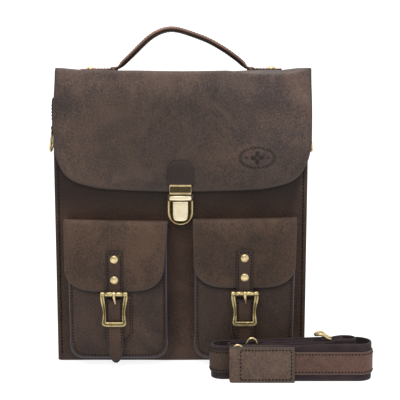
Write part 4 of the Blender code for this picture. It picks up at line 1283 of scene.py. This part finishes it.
def sew_pocket_front(side_name, sign, centre, face):
    """Thread round the sides and bottom of a pocket's front, laid just over the leather."""
    half = POCKET_HALF - 2.8
    route = open_curve(169.0, half, 26.0, 13.8, 13.0, 2.1)
    route[:, 0] = pocket_across(route[:, 0], route[:, 1], sign)
    reach = along(route)[-1]
    route = resample(route, np.linspace(0, reach, round(reach / 1.5) + 1))
    path = []
    for px, pz in route:
        gap = (face[:, 0] - px - centre) ** 2 + (face[:, 2] - pz) ** 2
        near = np.argpartition(gap, 4)[:4]
        weight = 1 / (gap[near] + 0.05)
        path.append((px + centre, float(np.sum(face[near, 1] * weight) / weight.sum()) - THREAD_LIFT, pz))
    threads = Form()
    stitches(threads, np.array(path), FRONT, pitch=3.9)
    threads.piece("pocket_stitches_" + side_name, THREAD, "bag_body", "pocket_leather")


def build_lid(side_name, sign, centre):
    """The pocket's flap, from its hinge on the front panel over the top and down the front."""
    half = LID_HALF
    bottom, top = LID_Z[side_name]
    bend = 6.0
    bend_z = top - bend
    hinge_y, bend_y = -50.6, -75.0
    x, z = tongue(bend_z, bottom, half, lid_curve(side_name), 4.0)
    face = xyz(x, bend_y - bend, z)
    rows = []
    for y in np.linspace(hinge_y, bend_y, 8):
        rows.append(xyz(x[0], y, top - 3.8 * (y - bend_y) / (hinge_y - bend_y)))
    rows += [xyz(x[0], y, level) for y, level in arc(bend_y, bend_z, bend, 90, 180, 7)[1:-1]]
    grid = np.concatenate([np.array(rows), face])
    x, y, z = grid[..., 0].copy(), grid[..., 1].copy(), grid[..., 2].copy()
    narrow = np.where(x > 0, 2.75 - 1.45 * sign, 1.3)
    lean = smooth(180, 105, z) * (x / half * narrow + 0.5 * (1 - sign))
    grid[..., 0] += centre - lean
    front = smooth(-66, -80, y)
    calm = 1 - hump(x, 0, 20) * smooth(160, 140, z)
    waves = 0.8 * lumps(grid * (1, 1, 0.8), 42.0, 41 + sign) + 0.35 * lumps(grid, 17.0, 44 + sign)
    curl = 1.1 * smooth(118, 100, z) * smooth(26, 50, np.abs(x))
    sides = 1.2 * (np.abs(x) / half) ** 4 * smooth(110, 150, z)
    grid[..., 1] -= front * (calm * (waves - 0.2) - sides + curl)
    grid[..., 2] += 1.2 * sign * x / half * smooth(130, 182, z) * smooth(-50, -62, y)
    grid[..., 2] -= 0.5 * (1 - (x / half) ** 2) * smooth(-50, -62, y) * smooth(150, 182, z)
    # Paler towards the top, where the lid bends over: painted light from above; the right lid is a little
    # darker, the leather's own tone.
    form = sheet(grid, 2.4, FRONT, shade=0.06 + 0.1 * sign - 0.5 * smooth(160, 184, z))
    fixed, moving = (centre * MM, -0.0506, 0.184), (centre * MM, -0.0600, 0.184)
    bodies = ("bag_body", "pocket_lid_" + side_name, fixed, moving)
    form.piece("pocket_lid_leather_" + side_name, LID, bodies, "flap_leather", ("pocket_flap_" + side_name,))


def build_straps(side_name, sign, strap, lid):
    """The chape strap with its two rivets, and the billet strap under it, with their stitches."""
    half = 9.3
    top = 145.0 + sign
    x, z = tongue(top, 90.5, half, np.array([(-half, 90.5), (half, 90.5)]), 3.0, top_corner=2.6)
    y = -83.9 + 0.5 * (np.abs(x) / half) ** 4 - 0.6 * hump(z, 96.0, 5.0)
    form = sheet(xyz(x + strap, y, z), 2.7, FRONT, seam=2.2)
    form.piece("chape_strap_" + side_name, STRAP, lid, "strap_dark_leather", ("chape_" + side_name,))
    for place, level in zip(("lower", "upper"), RIVET_Z[side_name]):
        form = Form()
        rivet(form, np.array((strap, -84.1, level)), FRONT, np.array((1.0, 0, 0)), 4.8, 1.5)
        node = "strap_rivet_" + side_name + "_" + place
        form.piece(node + "_cap", BRASS, lid, "antique_brass", (node,), angle=60)
    threads = Form()
    for edge in (-1, 1):
        rows = np.linspace(97.5, top - 3.0, 30)
        path = xyz(strap + edge * (half - 1.6), -83.95, rows)
        stitches(threads, path, FRONT, pitch=3.6, length=1.8)
    path = xyz(np.linspace(strap - half + 2.4, strap + half - 2.4, 10), -83.95, top - 1.7)
    stitches(threads, path, FRONT, pitch=3.6, length=1.8)
    half = 9.4
    tip = [(-half, 30.0), (-half + 0.5, 24.5), (-half + 2.2, 17.8)]
    tip += [(-half + 4.6, 12.4), (-2.6, 9.0), (0, 8.2)]
    curve = smooth_path(tip + [(-px, pz) for px, pz in tip[-2::-1]], 0.8)
    x, z = tongue(85.8, 8.2, half, curve, 3.0)
    y = -86.7 + 0.45 * (np.abs(x) / half) ** 4 + 0.5 * hump(z, 52, 12) - 0.3 * hump(z, 20, 16)
    shift = 1.5 * smooth(60, 10, z)
    form = sheet(xyz(x + strap + shift, y, z), 2.3, FRONT, seam=2.0)
    form.piece("billet_strap_" + side_name, STRAP, lid, "strap_dark_leather", ("billet_" + side_name,))
    for edge in (-1, 1):
        rows = np.linspace(84.0, 26.0, 40)
        shift = 1.5 * smooth(60, 10, rows)
        path = xyz(strap + edge * (half - 1.5) + shift, -86.75 + 0.5 * hump(rows, 52, 12), rows)
        stitches(threads, path, FRONT, pitch=3.6, length=1.8)
    threads.piece("strap_stitches_" + side_name, THREAD, lid, "strap_dark_leather")


def build_patch(side_name, sign):
    """The round-bottomed patch behind the billet, with its stitches."""
    centre = sign * 78.5 + 1.3 - 1.3 * sign
    half = 16.7
    x, z = tongue(89.0, 31.0, half, rounded_curve(half, 47.0, 31.0, half, 2.0), 3.0)
    grid = xyz(x + centre, -80.0 + 0.3 * (np.abs(x) / half) ** 4, z)
    form = sheet(grid, 1.9, FRONT, seam=2.6)
    patch = "snap_patch_" + side_name
    form.piece("snap_patch_leather_" + side_name, STRAP, "bag_body", "pocket_leather", (patch,))
    threads = Form()
    sewn = half - 2.2
    route = open_curve(86.0, sewn, 47.0, 33.4, sewn, 2.0)
    route = resample(route, np.linspace(0, along(route)[-1], 80))
    path = xyz(route[:, 0] + centre, -80.0, route[:, 1])
    stitches(threads, path, FRONT, pitch=3.6, length=1.8)
    threads.piece("patch_stitches_" + side_name, THREAD, "bag_body", "pocket_leather")


def build_buckle_frame(side_name, strap, lid):
    """Cast buckle frame with waisted, ridged sides, its bar and the lugs at the bar's ends."""
    raised = BUCKLE_LIFT[side_name]
    left = [
        (-14.2, 93.8), (-14.3, 90.5), (-13.4, 84), (-12.0, 76), (-11.5, 69), (-11.9, 62), (-12.5, 57.6),
        (-11.2, 56.3),
    ]
    path = left + [(-6, 56.2), (0, 56.2), (6, 56.2)] + [(-px, pz) for px, pz in left[::-1]]
    path = smooth_path(path, 1.3)
    tangent = tangents(path)
    outward = xyz(tangent[:, 1], 0.0, -tangent[:, 0])
    points = xyz(path[:, 0] + strap, BUCKLE_Y, path[:, 1] + raised)
    lift = np.broadcast_to(FRONT, outward.shape)
    section = np.array([
        (-2.5, -1.0), (-2.7, 0.2), (-2.2, 1.1), (-1.3, 1.45), (-0.5, 1.05), (0.3, 0.95),
        (1.1, 1.45), (2.1, 1.25), (2.75, 0.4), (2.6, -0.9), (1.6, -1.55), (-1.6, -1.55),
    ])
    reach = along(path)
    ends = np.minimum(reach, reach[-1] - reach)
    scale = (0.62 + 0.38 * smooth(0, 3.0, ends)) * (1.0 - 0.26 * hump(path[:, 1], 71.0, 8.0))
    scale *= 1.0 + 0.14 * smooth(60.0, 57.0, path[:, 1])
    # Darker in the groove of the section: the brass's dark wax. Darker on its sides and back: painted shade.
    # Darker round the waist and just above the bottom bar: painted dark reflections.
    patina_and_shade = np.array((0.9, 0.8, 0.3, 0.0, 0.75, 0.75, 0.0, 0.0, 0.45, 0.9, 1.0, 1.0))
    waist = 0.6 * hump(path[:, 1], 73.0, 8.0) + 0.3 * hump(path[:, 1], 60.0, 2.5)
    form = Form()
    sweep(form, points, outward, lift, section, scale, np.clip(patina_and_shade[None, :] + waist[:, None], 0, 1.2))
    bar_z = BUCKLE_BAR_Z + raised
    lug(form, strap, BUCKLE_Y, bar_z, 14.0, 1.25, BAR_ENDS, 14)
    for sign in (-1, 1):
        lug(form, strap + sign * 13.8, BUCKLE_Y, bar_z, 2.8, 3.0, SHOULDER_ENDS)
    node = "buckle_frame_" + side_name
    form.piece("buckle_frame_shape_" + side_name, BUCKLE_BRASS, lid, "antique_brass", (node,), angle=60)


def build_buckle_bar(side_name, strap):
    """The two roller sleeves on the buckle's bar, and the prong between them."""
    bar_z = BUCKLE_BAR_Z + BUCKLE_LIFT[side_name]
    for end, sign in (("a", -1), ("b", 1)):
        tail = side_name + "_" + end
        form = Form()
        lug(form, strap + sign * 6.0, BUCKLE_Y, bar_z, 4.5, 2.9, ROLLER_ENDS)
        body = "roller_body_" + tail
        node = "roller_" + tail
        form.piece("roller_sleeve_" + tail, BUCKLE_BRASS, body, "antique_brass", (node,), angle=60)
    form = Form()
    lug(form, strap, BUCKLE_Y, bar_z, 1.3, 2.95, ROLLER_ENDS)
    path = np.array([
        (0.0, -91.2, -1.4), (0.1, -92.0, -2.4), (0.5, -92.0, -5.0), (1.1, -91.0, -8.5), (1.7, -89.8, -12.2),
    ])
    path = smooth_path(path + (strap, 0, bar_z), 0.9)
    tangent = tangents(path)
    lift = np.broadcast_to(FRONT, tangent.shape)
    side = unit(np.cross(tangent, lift))
    angles = full_turn(12)
    section = np.stack([1.25 * np.cos(angles), 1.0 * np.sin(angles)], axis=1)
    sweep(form, path, side, lift, section, np.linspace(1.5, 0.55, len(path)))
    body = "prong_body_" + side_name
    form.piece("prong_shape_" + side_name, BRASS, body, "antique_brass", ("prong_" + side_name,), angle=60)


# ---------------------------------------------------------------- shoulder strap

COIL_Y = -118.0
COIL_RADII = (17.0, 9.0, 3.5)
COIL_RIGHT_X = (210.0, 199.5, 189.5)
COIL_LEFT = ((51.3, 13.0), (64.0, 6.25))


def coil_route():
    """Return the middle line of the wound webbing, seen from above."""
    route = [np.array([(72.5, COIL_Y - COIL_RADII[0])])]
    for i, (radius, right) in enumerate(zip(COIL_RADII, COIL_RIGHT_X)):
        route.append(arc(right, COIL_Y, radius, -90, 90, 24))
        if i < len(COIL_LEFT):
            left, turn = COIL_LEFT[i]
            route.append(arc(left, COIL_Y + radius - turn, turn, 90, 270, 20))
    route.append(np.array([(100.0, COIL_Y + COIL_RADII[-1])]))
    route = np.concatenate(route)
    return resample(route, np.linspace(0, along(route)[-1], 460))


def ribbon_grid(route, shift, levels):
    """Return a grid of points on a ribbon standing on edge, shifted sideways from its middle line."""
    tangent = tangents(route)
    outward = np.stack([tangent[:, 1], -tangent[:, 0]], axis=1)
    line = route + outward * shift
    return xyz(line[:, :1], line[:, 1:], levels), outward


def build_shoulder_strap():
    """Webbing wound on edge, the stitched leather strip on its outside, and the sheath at its end."""
    route = coil_route()
    levels = spaced(43.2, 5.0, (0.0, 0.7, 1.6, 3.0)) + 0.3
    grid, _ = ribbon_grid(route, 1.1, levels)
    reach = along(route)
    rise = 0.9 * lumps(np.c_[route, np.zeros(len(route))], 40.0, 51)
    first_turn = 72.5 + COIL_RIGHT_X[0]
    inner = smooth(first_turn + 60, first_turn + 200, reach) * smooth(168, 194, route[:, 0])
    rise = np.maximum(rise, 0) + 4.0 * inner
    settled = rise - 4.2 * smooth(190, 60, route[:, 0])
    lowest = 0.25 * inner[:, None]
    grid[..., 2] += settled[:, None] * (lowest + (1 - lowest) * smooth(10, 43, levels))
    weave = np.stack(np.broadcast_arrays(reach[:, None], levels[None, :]), axis=2)
    form = sheet(grid, 2.2, outside_of(grid), weave=weave)
    form.piece("webbing_coil", WEBBING, "shoulder_strap", "webbing", ("strap_webbing",))
    turn = int(np.argmax(route[:, 0]))
    threads = Form()
    for name, keep, look, slot in (
        ("leather_strip", slice(2, turn), RED, "red_leather"),
        ("leather_strip_back", slice(turn, None), STRAP, "strap_dark_leather"),
    ):
        part = route[keep]
        levels = spaced(26.0, 4.0) + 8.5
        grid, outward = ribbon_grid(part, 2.9, levels)
        grid[..., 2] += (rise[keep] * 0.6)[:, None]
        weave = np.stack(np.broadcast_arrays(reach[keep][:, None], levels[None, :]), axis=2)
        form = sheet(grid, 1.6, outside_of(grid), seam=2.3, weave=weave)
        form.piece(name, look, "shoulder_strap", slot, ("strap_leather",) if slot == "red_leather" else ())
        for level in (10.8, 32.2):
            path = np.c_[part + outward * 2.8, np.full(len(part), level) + rise[keep] * 0.6]
            stitches(threads, path, np.c_[outward, np.zeros(len(part))], pitch=3.8, length=1.9)
    threads.piece("strip_stitches", THREAD, "shoulder_strap", "red_leather")
    build_sheath()


def outside_of(grid):
    """Return the side that a ribbon's outside faces at the middle of its grid."""
    middle = grid.shape[0] // 2
    return FRONT if grid[middle + 1, 0, 0] > grid[middle, 0, 0] else BACK


SHEATH_LEAN = 2.6


def build_sheath():
    """Leather sheath folded round the oval ring, with its sewn rectangle."""
    front_y, back_y = -139.5, -132.6
    fold = (back_y - front_y) / 2
    middle = (back_y + front_y) / 2
    route = np.concatenate([[(134.0, back_y)], arc(62.5, middle, fold, 90, 270, 14), [(134.0, front_y)]])
    route = resample(route, spaced(along(route)[-1], 3.5))
    levels = spaced(41.0, 4.0) + 0.3
    grid, _ = ribbon_grid(route, 1.0, levels)
    lean = SHEATH_LEAN * (1 - grid[..., 2] / 41.0)
    grid[..., 1] -= np.where(grid[..., 1] < middle, 0.5 * lumps(grid, 22.0, 61) + lean, 0.0)
    x0, x1, z0, z1 = 71.5, 131.2, 3.4, 38.2
    px, pz = grid[..., 0], grid[..., 2]
    inside = smooth(x0 - 1, x0, px) * smooth(x1 + 1, x1, px)
    inside *= smooth(z0 - 1, z0, pz) * smooth(z1 + 1, z1, pz)
    rows = [hump(px, x0, 1.0), hump(px, x1, 1.0), hump(pz, z0, 1.0), hump(pz, z1, 1.0)]
    sewn = inside * np.max(rows, axis=0)
    form = sheet(grid, 1.9, np.array((-1.0, 0, 0)), shade=0.5 * sewn * (grid[..., 1] < middle))
    form.piece("sheath_leather_fold", SHEATH, "shoulder_strap", "sheath_leather", ("strap_sheath",))
    threads = Form()
    corners = ((x0, z0), (x1, z0), (x1, z1), (x0, z1), (x0, z0))
    for start, end in zip(corners[:-1], corners[1:]):
        level = np.linspace(start[1], end[1], 12)
        y = front_y - 1.05 - SHEATH_LEAN * (1 - level / 41.0)
        path = xyz(np.linspace(start[0], end[0], 12), y, level)
        stitches(threads, path, FRONT, pitch=3.9, length=2.0, radius=0.78, rise=0.12)
    threads.piece("sheath_stitches", THREAD, "shoulder_strap", "sheath_leather")


def build_links():
    """The two oval links, one in the sheath's fold and one in the webbing's end, and the snap hook."""
    for name, x, y, top in (("strap_ring", 68.4, -136.0, 45.6), ("far_ring", 86.0, -114.5, 48.2)):
        c, s = np.cos(full_turn(48)), np.sin(full_turn(48))
        height = top / 2 - 1.2
        px = x + 7.3 * np.sign(c) * np.abs(c) ** 0.8
        pz = 1.0 + height + (height - 1.0) * np.sign(s) * np.abs(s) ** 0.8
        path = xyz(px, y, pz)
        strap_wire(name + "_shape", path, 1.6, True, name)
    turn = np.radians(np.linspace(-50, -310, 40))
    px = 172.0 + 10.5 * np.cos(turn)
    share = (px - 161.5) / 21.0
    level = 51.0 + 1.8 * np.sin(math.pi * np.clip(share * 1.6, 0, 1)) - 8.5 * np.clip(share, 0, 1) ** 2.4
    path = xyz(px, -116.0 + 6.5 * np.sin(turn), level)
    strap_wire("snap_hook_shape", path, 1.9, False, "snap_hook")


def strap_wire(name, path, radius, closed, node):
    """Make a round brass wire of the shoulder strap along a path, in place of a CAD node."""
    ahead = tangents(path, closed)
    across = unit(np.cross(ahead, (0.02, 1.0, 0.03) if closed else UP))
    rings = wire(path, ahead, across, radius)
    form = Form()
    if closed:
        form.add(rings, loop_faces(len(rings), 14))
    else:
        form.tube(rings)
    form.piece(name, BRASS, "shoulder_strap", "antique_brass", (node,), angle=60)


# ---------------------------------------------------------------- hard parts that stay

def dress_hard_parts():
    """Give the CAD pieces that stay visible their metal looks."""
    looks = {
        "lock_base": CAD_OLIVE, "lock_spring": STEEL, "hook_gate": CAD_BRASS,
        "snap_stud_left": CAD_BRASS, "snap_stud_right": CAD_BRASS,
    }
    for name, look in looks.items():
        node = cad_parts[name]
        for slot in node.material_slots:
            slot.material = look


# ---------------------------------------------------------------- stage

def aim_at(obj, place):
    """Turn a camera or lamp towards a place."""
    obj.rotation_euler = (Vector(place) - obj.location).to_track_quat("-Z", "Y").to_euler()


def build_stage():
    """Camera, white ground, world and lights."""
    camera = bpy.data.objects.new("camera", bpy.data.cameras.new("camera"))
    bpy.context.scene.collection.objects.link(camera)
    camera.location = (0.0241, -1.25, 0.345)
    aim_at(camera, (0.0241, -0.05, 0.2045))
    camera.data.lens = 87.7
    camera.data.sensor_width = 36.0
    bpy.context.scene.camera = camera
    floor = bpy.data.meshes.new("floor")
    profile = [(-6.0, 0.0), (1.2, 0.0)]
    profile += [(1.2 + 1.0 * math.sin(a), 1.0 - math.cos(a)) for a in np.radians(np.linspace(6, 90, 15))]
    profile += [(2.2, 6.0)]
    points = [(x, y, z - 0.0002) for y, z in profile for x in (-6.0, 6.0)]
    faces = [(2 * i, 2 * i + 1, 2 * i + 3, 2 * i + 2) for i in range(len(profile) - 1)]
    floor.from_pydata(points, [], faces)
    floor.shade_smooth()
    ground = bpy.data.objects.new("floor", floor)
    bpy.context.scene.collection.objects.link(ground)
    look = Look("floor_paper")
    look.set(Base_Color=(0.35, 0.35, 0.35, 1.0), Roughness=0.95, Specular_IOR_Level=0.05)
    look.set(Emission_Color=(1.0, 1.0, 1.0, 1.0), Emission_Strength=0.88)
    ground.data.materials.append(look.material)
    world = bpy.data.worlds.new("studio")
    world.use_nodes = True
    world.node_tree.nodes["Background"].inputs[0].default_value = (1.0, 1.0, 1.0, 1.0)
    world.node_tree.nodes["Background"].inputs[1].default_value = 0.52
    bpy.context.scene.world = world
    bpy.context.scene.view_settings.view_transform = "Standard"
    for name, place, size, power, colour in (
        ("key", (-0.35, -1.25, 1.75), 1.2, 19.0, (1.0, 0.985, 0.96)),
        ("fill", (1.3, -1.2, 0.9), 1.4, 7.0, (0.97, 0.985, 1.0)),
        ("top", (0.0, 0.1, 1.7), 1.4, 13.0, (1.0, 1.0, 1.0)),
    ):
        light = bpy.data.lights.new(name, "AREA")
        light.size = size
        light.energy = power
        light.color = colour
        lamp = bpy.data.objects.new(name, light)
        bpy.context.scene.collection.objects.link(lamp)
        lamp.location = place
        aim_at(lamp, (0.02, -0.05, 0.18))


build_stage()
build_body()
build_lining()
build_divider()
build_flap_front()
build_flap_back()
build_lock()
build_bezel()
build_handle()
build_handle_feet()
build_sides()
build_pocket("left", -1)
build_pocket("right", 1)
build_shoulder_strap()
build_links()
dress_hard_parts()
